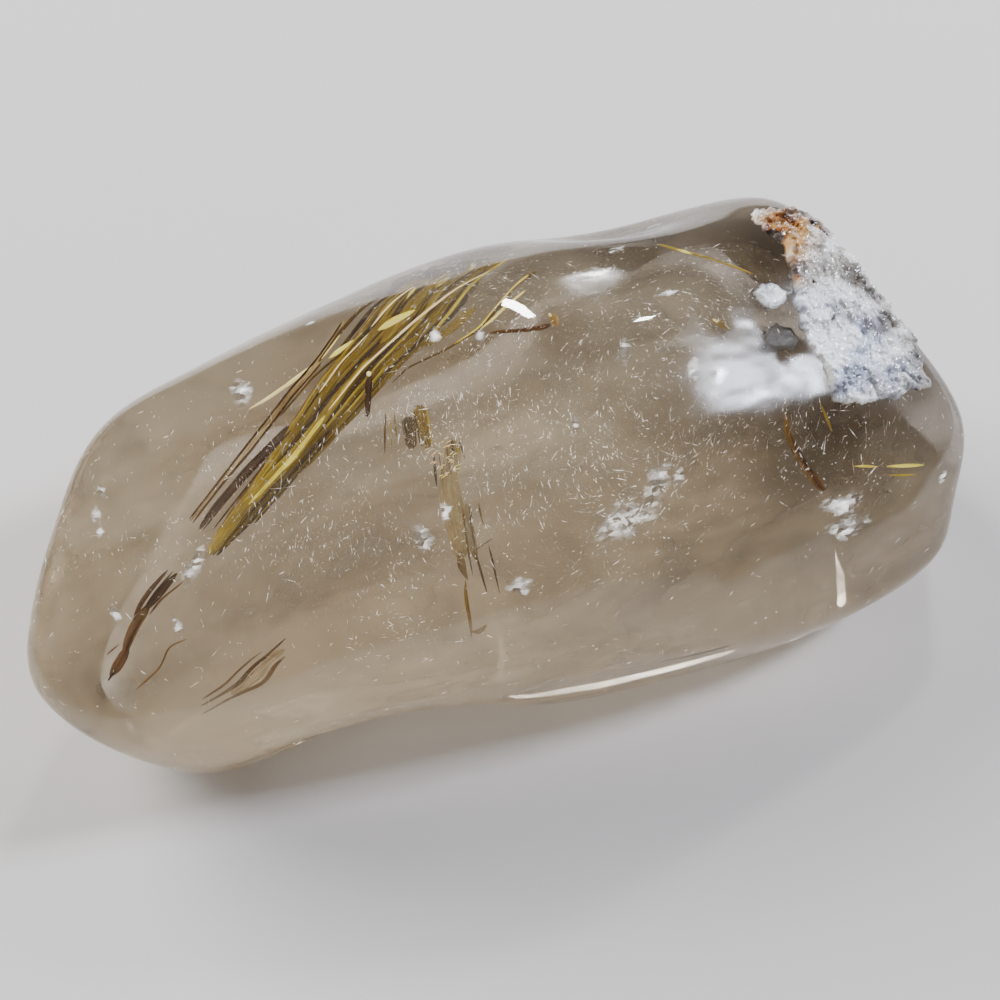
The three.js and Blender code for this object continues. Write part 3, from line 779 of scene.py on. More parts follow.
SHEAF_LINES = [
    # outer brown lines on the left, from the rim down
    ([(-7.1, 16.4, 2.1, 0.26), (-8.9, 15.4, 2.1, 0.3), (-11.5, 13.9, 2.1, 0.3),
      (-13.9, 12.1, 2.1, 0.3)], 0.2, 0.26),
    ([(-5.4, 16.8, 2.3, 0.3), (-6.4, 16.3, 2.3, 0.34), (-8.4, 14.9, 2.3, 0.34),
      (-12.5, 12.2, 2.2, 0.3)], 0.2, 0.18),
    ([(-9.8, 12.9, 2.2, 0.22), (-12.5, 12.0, 2.2, 0.24), (-14.8, 10.9, 2.2, 0.24),
      (-18.4, 8.4, 2.2, 0.2)], 0.15, 0.3),
    # pale edges, cream, with the strongest painted glow
    ([(-4.0, 16.9, 2.55, 0.12), (-4.9, 16.2, 2.55, 0.16), (-6.8, 14.9, 2.55, 0.16),
      (-8.7, 13.7, 2.55, 0.12)], 0.1, 1.0),
    ([(3.0, 16.4, 2.6, 0.12), (0.3, 15.2, 2.6, 0.14), (-2.1, 14.2, 2.6, 0.16),
      (-4.8, 13.2, 2.6, 0.18), (-7.5, 12.0, 2.6, 0.18), (-10.3, 10.6, 2.6, 0.16),
      (-14.2, 7.8, 2.5, 0.1)], 0.12, 1.0),
    ([(-9.2, 13.2, 2.5, 0.1), (-12.0, 11.6, 2.5, 0.12), (-14.6, 9.5, 2.5, 0.1)], 0.1, 0.97),
    # the bright golden heart under the rim
    ([(-1.6, 17.2, 2.2, 0.7), (-3.2, 15.3, 2.2, 0.9), (-5.6, 13.6, 2.2, 0.8),
      (-8.2, 12.2, 2.2, 0.5)], 0.3, 0.58, 0.2),
    ([(-0.6, 17.0, 2.35, 0.5), (-1.4, 16.4, 2.4, 0.7), (-2.2, 15.6, 2.35, 0.4)], 0.2, 0.7),
    # the dark end under the back rim
    ([(-3.6, 18.6, -1.4, 1.7), (-4.6, 17.4, -0.6, 1.7), (-5.6, 16.0, 0.7, 1.3),
      (-7.2, 14.2, 1.7, 0.8)], 0.4, 0.16, 0.1),
    ([(-2.3, 18.8, -2.0, 1.6), (-3.2, 17.5, -0.8, 1.7), (-4.2, 16.0, 0.6, 1.4),
      (-5.8, 14.0, 1.7, 0.8)], 0.4, 0.24, 0.1),
    ([(-0.7, 18.8, -1.5, 1.9), (-1.6, 17.5, -0.6, 1.8), (-2.6, 15.9, 0.7, 1.5),
      (-4.2, 13.9, 1.7, 0.8)], 0.4, 0.12, 0.1),
    ([(0.7, 18.8, -2.1, 1.5), (0.0, 17.4, -0.9, 1.8), (-1.0, 15.9, 0.6, 1.5),
      (-2.6, 13.8, 1.7, 0.8)], 0.4, 0.24, 0.1),
    ([(2.2, 18.6, -1.3, 1.7), (1.6, 17.2, -0.5, 1.7), (0.6, 15.8, 0.8, 1.4),
      (-1.0, 13.7, 1.7, 0.8)], 0.4, 0.18, 0.15),
    ([(3.6, 18.2, -1.6, 1.3), (3.2, 16.9, -0.5, 1.5), (2.2, 15.6, 0.8, 1.2), (0.6, 13.9, 1.7, 0.7)],
     0.4, 0.28, 0.2),
    ([(-3.2, 18.6, -1.9, 0.2), (-4.6, 16.4, 0.6, 0.3), (-6.6, 14.0, 2.1, 0.2)], 0.16, 0.05),
    ([(-0.2, 18.7, -1.8, 0.2), (-1.4, 16.6, 0.4, 0.34), (-3.4, 14.0, 2.1, 0.2)], 0.16, 0.06),
    ([(2.8, 18.2, -1.6, 0.2), (1.8, 16.4, 0.5, 0.3), (-0.2, 13.8, 2.1, 0.2)], 0.16, 0.72),
    ([(-1.6, 18.8, -1.9, 0.16), (-2.8, 16.6, 0.4, 0.24), (-4.8, 14.2, 2.1, 0.16)], 0.16, 0.66),
    # brown right of the pale edge
    ([(-1.4, 15.2, 1.9, 0.9), (0.2, 14.0, 1.9, 1.0), (-1.8, 12.8, 1.9, 1.2),
      (-3.8, 12.0, 1.9, 0.8)], 0.3, 0.16, 0.4),
    ([(0.6, 12.7, 2.0, 0.7), (-1.9, 11.6, 2.0, 0.7), (-4.4, 10.9, 2.0, 0.5)], 0.2, 0.56, 0.4),
    ([(-4.4, 11.8, 1.9, 0.8), (-7.6, 10.4, 1.9, 1.1), (-9.6, 9.2, 1.9, 0.9)], 0.3, 0.12, 0.35),
    # the yellow spine down to the root
    ([(-12.1, 9.3, 2.3, 0.5), (-13.8, 8.0, 2.3, 0.8), (-15.9, 6.3, 2.35, 0.9),
      (-17.9, 4.8, 2.4, 1.0), (-20.9, 2.9, 2.4, 1.1), (-23.7, 1.1, 2.4, 1.0),
      (-25.7, -0.5, 2.3, 0.9), (-27.3, -1.8, 2.2, 0.8)], 0.4, 0.6, 0.3),
    ([(-14.6, 7.4, 2.6, 0.3), (-17.3, 5.2, 2.65, 0.4), (-20.4, 3.1, 2.65, 0.35),
      (-23.0, 1.5, 2.6, 0.2)], 0.2, 0.78),
    ([(-12.2, 8.0, 2.0, 0.8), (-14.4, 6.1, 2.0, 1.0), (-17.7, 3.5, 2.0, 0.8),
      (-21.0, 1.0, 2.0, 0.5)], 0.3, 0.36, 0.5),
    # glints
    ([(-13.0, 12.2, 2.6, 0.2), (-12.2, 12.5, 2.65, 0.5), (-11.4, 12.8, 2.6, 0.4),
      (-10.5, 13.1, 2.6, 0.12)], 0.12, 0.9),
    ([(-8.2, 13.3, 2.7, 0.3), (-7.1, 13.6, 2.75, 0.6), (-5.9, 13.8, 2.7, 0.5),
      (-4.6, 14.0, 2.7, 0.2)], 0.14, 0.86),
    ([(-5.0, 15.2, 2.6, 0.2), (-4.4, 16.0, 2.6, 0.4), (-3.9, 16.6, 2.5, 0.2)], 0.12, 0.84),
    ([(-17.2, 5.3, 2.8, 0.2), (-18.3, 4.4, 2.85, 0.4), (-19.5, 3.6, 2.8, 0.2)], 0.12, 0.84),
]


BROAD_BLADES = 15
SLENDER_BLADES = 70


def sheaf_blades(seed):
    """The sheaf: broad blades under slender ones between its two edge lines, then its bright
    edges and glints one by one."""
    rng = np.random.default_rng(seed)
    parts = []
    for number in range(BROAD_BLADES):
        share = (number + 0.5) / BROAD_BLADES
        start = rng.uniform(0.0, 0.12) if 0.15 < share < 0.8 else rng.uniform(0.05, 0.3)
        end = rng.uniform(0.93, 1.0)
        path = between(SHEAF_LEFT, SHEAF_RIGHT, (share, share + rng.uniform(-0.04, 0.04)),
                       start, end, 0.5, rng.uniform(1.6, 1.95))
        spread = np.interp(np.linspace(start, end, 14), (0, 0.4, 1), (0.3, 0.55, 1.0))
        path[:, 3] = spread * rng.uniform(0.8, 1.2)
        parts.append(blade(path, rng.uniform(0.3, 0.6), rng.choice((0.24, 0.36, 0.46, 0.55)),
                           clear=0.22, seed=seed + number, sides=10))
    for number in range(SLENDER_BLADES):
        share = rng.uniform(0.0, 1.0)
        start = rng.uniform(0.0, 0.75)
        end = min(start + rng.uniform(0.12, 0.5), 1.0)
        path = between(SHEAF_LEFT, SHEAF_RIGHT, (share, share + rng.uniform(-0.08, 0.08)),
                       start, end, rng.uniform(0.08, 0.26), rng.uniform(1.9, 2.5))
        tint = rng.choice((0.08, 0.2, 0.34, 0.5, 0.62, 0.72),
                          p=(0.18, 0.22, 0.22, 0.18, 0.13, 0.07))
        parts.append(blade(path, 0.14, tint, seed=seed + 40 + number, sides=8))
    for line in SHEAF_LINES:
        parts.append(blade(*line, seed=seed + 200 + len(parts), sides=10))
    return join(parts)


# name: (slot, [(path, thickness, tint, clearness, taper)]), where the last two may be left out
SMALL_RUTILE = {
    "rutile_needle_long": ("brown_rutile", [
        ([(-10.8, 14.6, 2.0, 0.5), (-13.9, 12.2, 2.0, 0.55), (-17.0, 10.1, 2.0, 0.6),
          (-18.8, 8.6, 2.0, 0.6), (-21.7, 6.4, 2.0, 0.6), (-24.7, 4.2, 2.0, 0.55),
          (-28.2, 1.4, 2.0, 0.4)], 0.22, 0.74, 0.6),
        ([(-11.0, 14.7, 2.15, 0.14), (-14.0, 12.4, 2.15, 0.18), (-17.1, 10.3, 2.15, 0.2),
          (-21.8, 6.7, 2.15, 0.2), (-28.2, 1.6, 2.15, 0.16)], 0.2, 0.16),
        ([(-13.6, 12.0, 2.15, 0.12), (-16.9, 9.8, 2.15, 0.2), (-21.6, 6.1, 2.15, 0.22),
          (-24.7, 3.9, 2.1, 0.24), (-28.0, 1.2, 2.1, 0.14)], 0.2, 0.22),
        ([(-11.5, 13.8, 2.3, 0.1), (-13.6, 12.3, 2.3, 0.12)], 0.08, 0.95),
        ([(-14.6, 11.9, 2.1, 0.3), (-16.8, 11.0, 2.1, 0.34), (-19.0, 10.2, 2.1, 0.26),
          (-20.9, 9.7, 2.1, 0.1)], 0.2, 0.92),
    ]),
    "rutile_needle_thick": ("brown_rutile", [
        ([(-17.8, 7.3, 2.1, 0.5), (-20.4, 5.7, 2.1, 0.75), (-22.9, 4.1, 2.1, 0.8),
          (-25.8, 2.0, 2.1, 0.6), (-27.6, 0.5, 2.1, 0.4)], 0.4, 0.34, 0.25),
        ([(-18.0, 7.4, 2.35, 0.14), (-22.9, 4.4, 2.35, 0.2), (-27.5, 0.8, 2.3, 0.12)], 0.14, 0.08),
        ([(-17.8, 6.9, 2.35, 0.16), (-20.2, 5.4, 2.35, 0.26), (-23.2, 3.5, 2.35, 0.24),
          (-27.3, 0.4, 2.3, 0.12)], 0.14, 0.14),
    ]),
    "rutile_needle_thin": ("brown_rutile", [
        ([(-18.5, 6.3, 2.0, 0.1), (-21.2, 4.2, 2.0, 0.2), (-23.9, 2.1, 2.0, 0.18),
          (-26.4, 0.2, 2.0, 0.12)], 0.2, 0.3),
        ([(-21.4, 3.8, 2.1, 0.1), (-26.2, -0.1, 2.1, 0.1)], 0.12, 0.5),
    ]),
    "rutile_rod_short": ("brown_rutile", [
        ([(-10.9, 6.2, 1.8, 0.36), (-10.6, 8.0, 3.2, 0.5), (-10.2, 9.9, 4.7, 0.6)], 0.5, 0.28),
        ([(-10.7, 6.4, 2.2, 0.12), (-10.1, 9.8, 5.0, 0.16)], 0.12, 0.1),
        ([(-10.4, 9.9, 4.8, 0.62), (-10.15, 10.15, 5.0, 0.66)], 0.5, 0.98),
    ]),
    "rutile_tablet": ("gold_rutile", [
        ([(-6.15, 5.85, 2.0, 1.1), (-6.2, 4.0, 2.0, 1.15), (-6.35, 2.0, 2.0, 1.0)],
         0.6, 0.52, 0.4, 0.1),
        ([(-7.35, 5.2, 1.95, 1.2), (-7.5, 3.8, 1.95, 1.2), (-7.7, 2.3, 1.95, 0.9)],
         0.6, 0.3, 0.45, 0.1),
        ([(-5.66, 5.7, 2.3, 0.16), (-5.75, 4.0, 2.3, 0.18), (-6.0, 2.0, 2.3, 0.1)], 0.14, 0.62),
        ([(-6.75, 5.8, 2.3, 0.1), (-6.8, 4.2, 2.3, 0.14), (-6.95, 2.4, 2.3, 0.1)], 0.14, 0.2),
        ([(-7.85, 5.1, 2.3, 0.12), (-7.95, 3.6, 2.3, 0.14)], 0.14, 0.2),
        ([(-6.7, 5.95, 2.3, 0.14), (-5.65, 5.8, 2.3, 0.14)], 0.14, 0.12),
    ]),
    "rutile_plate_faint": ("gold_rutile", [
        ([(-9.2, 6.1, 2.0, 0.12), (-9.7, 4.4, 2.0, 0.18), (-10.2, 2.6, 2.0, 0.08)], 0.2, 0.3),
        ([(-8.8, 6.0, 2.0, 0.1), (-9.1, 4.4, 2.0, 0.1), (-9.5, 2.8, 2.0, 0.06)], 0.2, 0.6),
        ([(-8.45, 5.9, 2.05, 0.1), (-8.8, 3.8, 2.05, 0.12)], 0.16, 0.35),
    ]),
    "rutile_fork": ("gold_rutile", [
        ([(-8.0, 8.6, 2.0, 0.08), (-6.3, 9.5, 2.0, 0.16), (-2.9, 10.0, 2.0, 0.2),
          (0.5, 10.8, 2.0, 0.26), (1.7, 11.5, 2.0, 0.34), (4.4, 13.6, 2.0, 0.3),
          (5.9, 14.5, 2.0, 0.44), (7.2, 15.1, 2.0, 0.3)], 0.3, 0.3),
        ([(-1.9, 10.3, 2.2, 0.08), (0.6, 11.0, 2.2, 0.14), (4.4, 13.8, 2.2, 0.1),
          (6.2, 14.8, 2.2, 0.2)], 0.12, 0.82),
        ([(0.6, 10.8, 2.1, 0.14), (1.9, 11.3, 2.15, 0.2), (3.4, 12.2, 2.15, 0.22),
          (5.3, 13.2, 2.15, 0.14)], 0.2, 0.9),
    ]),
    "rutile_rod_knob": ("brown_rutile", [
        ([(1.4, 10.2, 2.0, 0.2), (2.3, 10.0, 2.0, 0.3), (4.5, 9.3, 2.0, 0.4), (6.8, 8.7, 2.0, 0.5)],
         0.4, 0.4),
        ([(6.75, 9.9, 2.1, 0.5), (7.1, 9.2, 2.1, 0.8), (7.5, 8.4, 2.1, 0.6)], 0.6, 0.68),
        ([(6.7, 10.0, 2.4, 0.3), (6.9, 9.6, 2.4, 0.3)], 0.2, 0.95),
    ]),
    "rutile_tail": ("brown_rutile", [
        ([(-31.0, -2.1, 2.1, 0.2), (-32.9, -3.4, 2.1, 0.5), (-34.0, -4.4, 2.1, 0.5),
          (-34.9, -5.6, 2.1, 0.3)], 0.4, 0.34, 0.2),
        ([(-30.3, -2.6, 2.1, 0.4), (-31.9, -3.7, 2.1, 0.8), (-33.5, -4.9, 2.1, 0.5)],
         0.5, 0.26, 0.2),
        ([(-30.6, -2.3, 2.4, 0.12), (-32.4, -3.6, 2.4, 0.2), (-33.9, -4.9, 2.4, 0.14)], 0.2, 0.08),
        ([(-29.9, -3.5, 2.0, 0.12), (-32.1, -4.4, 2.0, 0.2), (-33.4, -5.4, 2.0, 0.12)], 0.2, 0.42),
        ([(-33.2, -4.6, 2.0, 0.7), (-34.8, -5.9, 2.0, 0.9), (-35.6, -6.9, 2.0, 0.8),
          (-36.2, -7.9, 2.0, 0.6)], 0.4, 0.5, 0.3),
        ([(-34.0, -5.4, 2.3, 0.12), (-35.4, -6.8, 2.3, 0.2), (-36.2, -8.0, 2.3, 0.12)], 0.2, 0.2),
        ([(-35.7, -7.4, 2.1, 0.8), (-36.9, -8.6, 2.1, 1.0), (-37.7, -9.2, 2.1, 0.7)],
         0.5, 0.44, 0.2),
        ([(-37.2, -8.9, 2.35, 0.2), (-38.0, -9.5, 2.3, 0.24)], 0.2, 0.06),
        ([(-36.4, -7.0, 2.1, 0.1), (-37.6, -7.5, 2.1, 0.2)], 0.2, 0.35),
    ]),
    "rutile_spray_low": ("brown_rutile", [
        ([(-24.6, -11.0, 2.1, 0.08), (-26.6, -11.7, 2.1, 0.13), (-28.7, -12.3, 2.1, 0.12),
          (-31.0, -12.6, 2.1, 0.08)], 0.14, 0.5, 0.4),
        ([(-22.2, -10.4, 2.0, 0.12), (-24.5, -11.5, 2.0, 0.2), (-27.5, -12.4, 2.0, 0.16),
          (-31.2, -12.9, 2.0, 0.08)], 0.16, 0.4, 0.45),
        ([(-22.6, -11.2, 1.8, 0.4), (-25.2, -12.0, 1.8, 0.6), (-28.4, -12.7, 1.8, 0.4)],
         0.3, 0.7, 0.85),
        ([(-22.8, -11.6, 2.0, 0.1), (-25.6, -12.5, 2.0, 0.13), (-29.4, -13.0, 2.0, 0.12),
          (-31.4, -13.4, 2.0, 0.08)], 0.14, 0.48, 0.4),
    ]),
    "rutile_thread_left": ("brown_rutile", [
        ([(-31.0, -7.9, 2.0, 0.1), (-32.6, -8.2, 2.0, 0.16), (-33.7, -9.7, 2.0, 0.16),
          (-36.0, -10.8, 2.0, 0.1)], 0.2, 0.5),
    ]),
    "rutile_rod_curved": ("brown_rutile", [
        ([(24.7, -2.4, 2.0, 0.7), (24.5, -3.7, 2.0, 0.8), (24.9, -5.1, 2.0, 0.8),
          (25.9, -7.1, 2.0, 0.84), (27.2, -9.3, 2.0, 0.95)], 0.5, 0.56, 0.15),
        ([(24.7, -3.9, 2.3, 0.14), (25.1, -5.2, 2.3, 0.34), (26.1, -7.2, 2.3, 0.5),
          (27.2, -9.3, 2.3, 0.5)], 0.2, 0.34),
        ([(25.1, -4.7, 2.35, 0.16), (25.5, -6.2, 2.4, 0.18), (26.6, -7.9, 2.35, 0.14)], 0.1, 0.12),
        ([(26.75, -9.45, 2.3, 0.12), (27.65, -9.2, 2.3, 0.12)], 0.3, 0.06),
    ]),
    "rutile_pin": ("gold_rutile", [
        ([(28.6, -2.4, 2.0, 0.14), (28.9, -3.6, 2.0, 0.3), (29.15, -4.9, 2.0, 0.24)], 0.24, 0.56),
    ]),
    "rutile_streaks": ("gold_rutile", [
        ([(30.8, -8.1, 2.0, 0.12), (32.0, -8.4, 2.0, 0.24), (33.3, -8.8, 2.0, 0.14)], 0.2, 0.78),
        ([(34.2, -9.0, 2.0, 0.14), (36.4, -9.5, 2.0, 0.32), (38.2, -9.9, 2.0, 0.14)], 0.24, 0.84),
        ([(34.4, -9.8, 1.9, 0.1), (35.8, -10.2, 1.9, 0.18), (37.2, -10.5, 1.9, 0.1)], 0.16, 0.66),
    ]),
    "rutile_thread_top": ("gold_rutile", [
        ([(19.2, 15.2, 2.0, 0.2), (21.0, 13.7, 2.0, 0.36), (22.6, 12.4, 2.0, 0.24),
          (24.6, 10.9, 2.0, 0.3), (26.4, 9.9, 2.0, 0.16)], 0.3, 0.62),
        ([(20.7, 14.0, 2.25, 0.2), (21.4, 13.4, 2.25, 0.4), (21.9, 12.9, 2.25, 0.2)], 0.12, 0.9),
    ]),
    "rutile_needle_low": ("brown_rutile", [
        ([(9.3, -19.5, 2.0, 0.14), (12.6, -19.8, 2.0, 0.26), (16.0, -19.9, 2.0, 0.16)], 0.26, 0.24),
    ]),
    "rutile_grain": ("gold_rutile", [
        ([(20.5, 6.4, 2.0, 0.5), (21.1, 6.0, 2.0, 0.7), (21.8, 5.4, 2.0, 0.4)], 0.6, 0.5),
        ([(20.5, 6.5, 2.3, 0.4), (20.9, 6.2, 2.3, 0.4)], 0.2, 0.96),
    ]),
}

COLUMN = [
    # pale translucent body
    ([(-3.9, 2.1, 1.9, 1.3), (-4.5, 0.4, 1.9, 1.7), (-5.3, -1.3, 1.9, 1.9), (-5.6, -3.5, 1.9, 2.0),
      (-5.7, -5.8, 1.9, 1.8), (-6.0, -8.4, 1.9, 1.1)], 0.5, 0.58, 0.62),
    ([(-4.3, -3.8, 2.0, 0.8), (-4.6, -6.4, 2.0, 0.9), (-4.8, -8.6, 2.0, 0.5)], 0.4, 0.5, 0.6),
    # brown lines
    ([(-6.0, 1.4, 2.3, 0.2), (-6.3, -0.1, 2.3, 0.24), (-6.5, -1.5, 2.3, 0.2)], 0.2, 0.08),
    ([(-4.7, 1.8, 2.3, 0.14), (-4.9, 0.5, 2.3, 0.18), (-5.0, -0.9, 2.3, 0.12)], 0.2, 0.2),
    ([(-4.1, 2.3, 2.3, 0.2), (-4.2, 1.4, 2.3, 0.24), (-4.3, 0.6, 2.3, 0.14)], 0.2, 0.16),
    ([(-3.5, 1.9, 2.3, 0.18), (-3.4, 1.0, 2.3, 0.2), (-3.4, 0.2, 2.3, 0.14)], 0.2, 0.26),
    ([(-3.8, 1.9, 2.2, 0.4), (-3.8, 1.1, 2.2, 0.4), (-3.9, 0.3, 2.2, 0.2)], 0.16, 0.55),
    ([(-5.5, 1.6, 2.3, 0.1), (-5.7, 0.2, 2.3, 0.1), (-5.8, -1.2, 2.3, 0.08)], 0.12, 0.3),
    ([(-4.8, -4.1, 2.3, 0.14), (-5.1, -6.8, 2.3, 0.2), (-5.5, -9.4, 2.3, 0.12)], 0.2, 0.22),
    ([(-4.1, -4.2, 2.3, 0.14), (-4.4, -5.8, 2.3, 0.2), (-4.6, -7.6, 2.3, 0.12)], 0.2, 0.2),
    ([(-3.2, -4.0, 2.2, 0.12), (-3.3, -5.0, 2.2, 0.16), (-3.3, -6.0, 2.2, 0.1)], 0.2, 0.34),
    ([(-4.7, -7.8, 2.2, 0.16), (-4.7, -9.1, 2.2, 0.2), (-4.8, -10.3, 2.2, 0.2)], 0.2, 0.18),
    ([(-3.4, -7.7, 2.2, 0.12), (-3.5, -9.0, 2.2, 0.18), (-3.8, -10.4, 2.2, 0.1)], 0.2, 0.2),
    ([(-5.9, -7.6, 2.1, 0.5), (-6.2, -8.8, 2.1, 0.8), (-6.0, -9.6, 2.1, 0.4)], 0.3, 0.36, 0.3),
    ([(-6.2, -9.6, 2.1, 0.2), (-6.8, -10.8, 2.1, 0.3), (-7.2, -11.7, 2.1, 0.2)], 0.3, 0.4),
    ([(-4.9, -7.9, 2.2, 0.08), (-2.9, -7.2, 2.2, 0.1)], 0.1, 0.3),
    ([(-7.1, -11.4, 2.1, 0.2), (-6.4, -11.5, 2.1, 0.3), (-5.6, -11.2, 2.1, 0.15)], 0.2, 0.4),
]


GROWTH_STEPS = 26


def column_blades():
    """The striped column: a pale clear body with brown lines, and a ladder of small bright
    growth steps, 0.13 mm apart, across its upper end."""
    parts = [blade(*line, seed=300 + i, sides=12) for i, line in enumerate(COLUMN)]
    rng = np.random.default_rng(5)
    for number in range(GROWTH_STEPS):
        up = 2.4 - 0.13 * number + rng.uniform(-0.05, 0.05)
        along = -6.9 + rng.uniform(0.0, 2.6)
        path = [(along, up, 2.55, 0.07),
                (along + rng.uniform(0.25, 0.7), up + rng.uniform(0.05, 0.2), 2.55, 0.07)]
        parts.append(blade(path, 0.06, rng.choice((0.9, 1.0, 0.97)), taper=0.2,
                           seed=340 + number, sides=6))
    return join(parts)


# ---- settings that a user would change ----

def colour_setting(name, description, colour):
    """A colour for the panel, with its starting value as an sRGB hex value."""
    return FloatVectorProperty(name=name, description=description, default=linear(colour),
                               size=4, min=0, max=1, subtype="COLOR")


class QuartzStoneSettings(PropertyGroup):
    """Shape and finish of the clear stone."""
    edge_round: FloatProperty(
        name="Edge rounding", description="Radius that polishing leaves between ground faces",
        default=0.0014, min=0.0003, max=0.004, unit="LENGTH")
    ripple: FloatProperty(
        name="Ripple", description="Height of the unevenness that hand polishing leaves",
        default=0.00022, min=0.0, max=0.001, unit="LENGTH")
    satin_lines: FloatProperty(
        name="Satin lines", description="Depth of the lines left in the satin patches",
        default=0.00004, min=0.0, max=0.0002, unit="LENGTH")
    clear_colour: colour_setting("Clear colour", "Colour of light through a thin slice", "FCFBF9")
    depth_colour: colour_setting("Depth colour", "Colour that thick quartz turns", "CDB583")
    depth_density: FloatProperty(
        name="Depth density", description="How fast thick quartz takes on its colour, per metre",
        default=18.0, min=0.0, max=200.0)


class RutileSettings(PropertyGroup):
    """Look of the rutile."""
    # Painted glow: an emission in the pale crystals that stands in for the light they catch.
    painted_rutile_glow: FloatProperty(
        name="Inner light", description="Light that gathers in the crystals from all round",
        default=0.25, min=0.0, max=1.0)
    sheaf_seed: IntProperty(
        name="Sheaf seed", description="Draws another set of blades in the sheaf",
        default=11)


class InclusionSettings(PropertyGroup):
    """Sparkles, veils and cracks in the stone."""
    sparkle_count: IntProperty(
        name="Sparkles", description="Number of tiny bright flecks",
        default=14000, min=0, max=20000)
    sparkle_length: FloatProperty(
        name="Sparkle length", description="Usual length of a fleck",
        default=0.00014, min=0.00005, max=0.001, unit="LENGTH")
    veil_density: FloatProperty(
        name="Veil density", description="How much light a veil holds back",
        default=0.42, min=0.0, max=0.8, subtype="FACTOR")
    # Painted glow of the milk along the lower edge: an emission, and its colour.
    painted_milk_glow: FloatProperty(
        name="Milk glow", description="Light that gathers in the milk of the lower edge",
        default=0.3, min=0.0, max=2.0)
    painted_milk_glow_colour: colour_setting("Milk colour", "Colour of that light", "EDE2C2")
    veil_colour: colour_setting("Veil colour", "Colour of the cloudy veils", "EADBBF")
    # Painted shade: the veils' colour at the blunt end and back rim.
    smoky_colour: colour_setting("Smoky colour", "Colour of the veils where it is smoky",
                                 "62523F")


class StageSettings(PropertyGroup):
    """Camera, floor and light."""
    turn: FloatProperty(
        name="Turn", description="Camera's turn from straight in front",
        default=math.radians(-18.7), subtype="ANGLE")
    rise: FloatProperty(
        name="Rise", description="Camera's rise above the floor",
        default=math.radians(52.0), subtype="ANGLE")
    view_angle: FloatProperty(
        name="View angle", description="Width of the camera's view",
        default=math.radians(36.0), subtype="ANGLE")
    away: FloatProperty(
        name="Distance", description="Camera's distance from the stone",
        default=0.142, unit="LENGTH")
    drop: FloatProperty(
        name="Aim drop", description="How far below the stone's centre the camera aims",
        default=0.0034, unit="LENGTH")
    key_power: FloatProperty(
        name="Key light", description="Power of the main soft light",
        default=28.0, unit="POWER")
    room_light: FloatProperty(
        name="Room light", description="Strength of the even light all round",
        default=0.3)
    floor_colour: colour_setting("Floor colour", "Colour of the paper floor", "C9C5C2")


def shape_of(settings):
    """The edge rounding and ripple in millimetres."""
    return settings.edge_round / MM, settings.ripple / MM


# ---- operators, one for each piece or group of like pieces ----

# Places on the crown that were polished less: middle, radius along, across and down, strength.
SATIN_PATCHES = [
    ((20.0, -4.4, 11.0), (11.0, 5.5, 5.5), 1.3),
    ((9.0, -2.0, 13.0), (10.0, 5.0, 4.0), 0.6),
    ((11.0, 6.0, 13.5), (4.5, 2.6, 3.0), 0.9),
    ((34.0, -4.0, 6.0), (6.0, 6.0, 4.0), 0.7),
    ((28.0, 1.5, 11.0), (4.0, 3.0, 3.0), 0.6),
    ((-29.0, -12.5, 1.0), (6.5, 2.2, 3.0), 0.35),
]

# Spots in them that came out clear, over the window and the orange crystal.
CLEAR_SPOTS = [((25.6, -2.5, 10.4), 2.0, 1.7), ((19.9, -0.9, 12.9), 1.3, 1.2)]


def satin_haze(points):
    """How satin the skin is, 0 to 1: the largest of several bell curves, broken up by noise,
    less the clear spots."""
    haze = np.zeros(len(points))
    for middle, radii, strength in SATIN_PATCHES:
        offset = (points - np.array(middle)) / np.array(radii)
        haze = np.maximum(haze, strength * np.exp(-(offset ** 2).sum(1)))
    haze *= 1 + 0.6 * layered_noise(points * (0.5, 1, 1), 1.8, 21)
    return np.clip(haze - bell_curves(points, CLEAR_SPOTS), 0, 1)


class QUARTZ_OT_stone(Operator):
    """Build the polished clear stone"""
    bl_idname = "quartz.stone"
    bl_label = "Polished stone"

    def execute(self, context):
        look = context.scene.quartz_stone
        rays, quads = cube_sphere((190, 96, 76))
        points, out = on_skin(rays * GRID_SHAPE, *shape_of(look))
        satin = satin_haze(points)
        # Where it is satin, polishing left lines two millimetres long and hundredths deep.
        lines = layered_noise(points * (0.4, 1, 1), 1.5, 5, 2)
        points = points - out * (look.satin_lines / MM * satin * lines)[:, None]
        make_piece("quartz_stone", points, quads, polished_quartz(look), "quartz",
                   ("quartz_front", "quartz_back"), satin=satin)
        return {"FINISHED"}


class QUARTZ_OT_rutile(Operator):
    """Build the rutile crystals sealed in the stone"""
    bl_idname = "quartz.rutile"
    bl_label = "Rutile crystals"

    def execute(self, context):
        look = context.scene.quartz_rutile
        shape = shape_of(context.scene.quartz_stone)
        gold = rutile("golden rutile", GOLD_STOPS, look)
        brown = rutile("brown rutile", BROWN_STOPS, look)
        made = {"rutile_sheaf": ("gold_rutile", sheaf_blades(look.sheaf_seed)),
                "rutile_column": ("gold_rutile", column_blades())}
        for number, (name, (slot, blades)) in enumerate(SMALL_RUTILE.items()):
            made[name] = slot, join([blade(*line, seed=500 + 10 * number + i)
                                     for i, line in enumerate(blades)])
        for name, (slot, (points, faces, grain)) in made.items():
            points = keep_inside(points, *shape, margin=0.15)
            make_piece(name.replace("rutile", "crystal"), points, faces,
                       gold if slot == "gold_rutile" else brown, slot, (name,),
                       grain=grain[:, :3], clear=grain[:, 3])
        return {"FINISHED"}


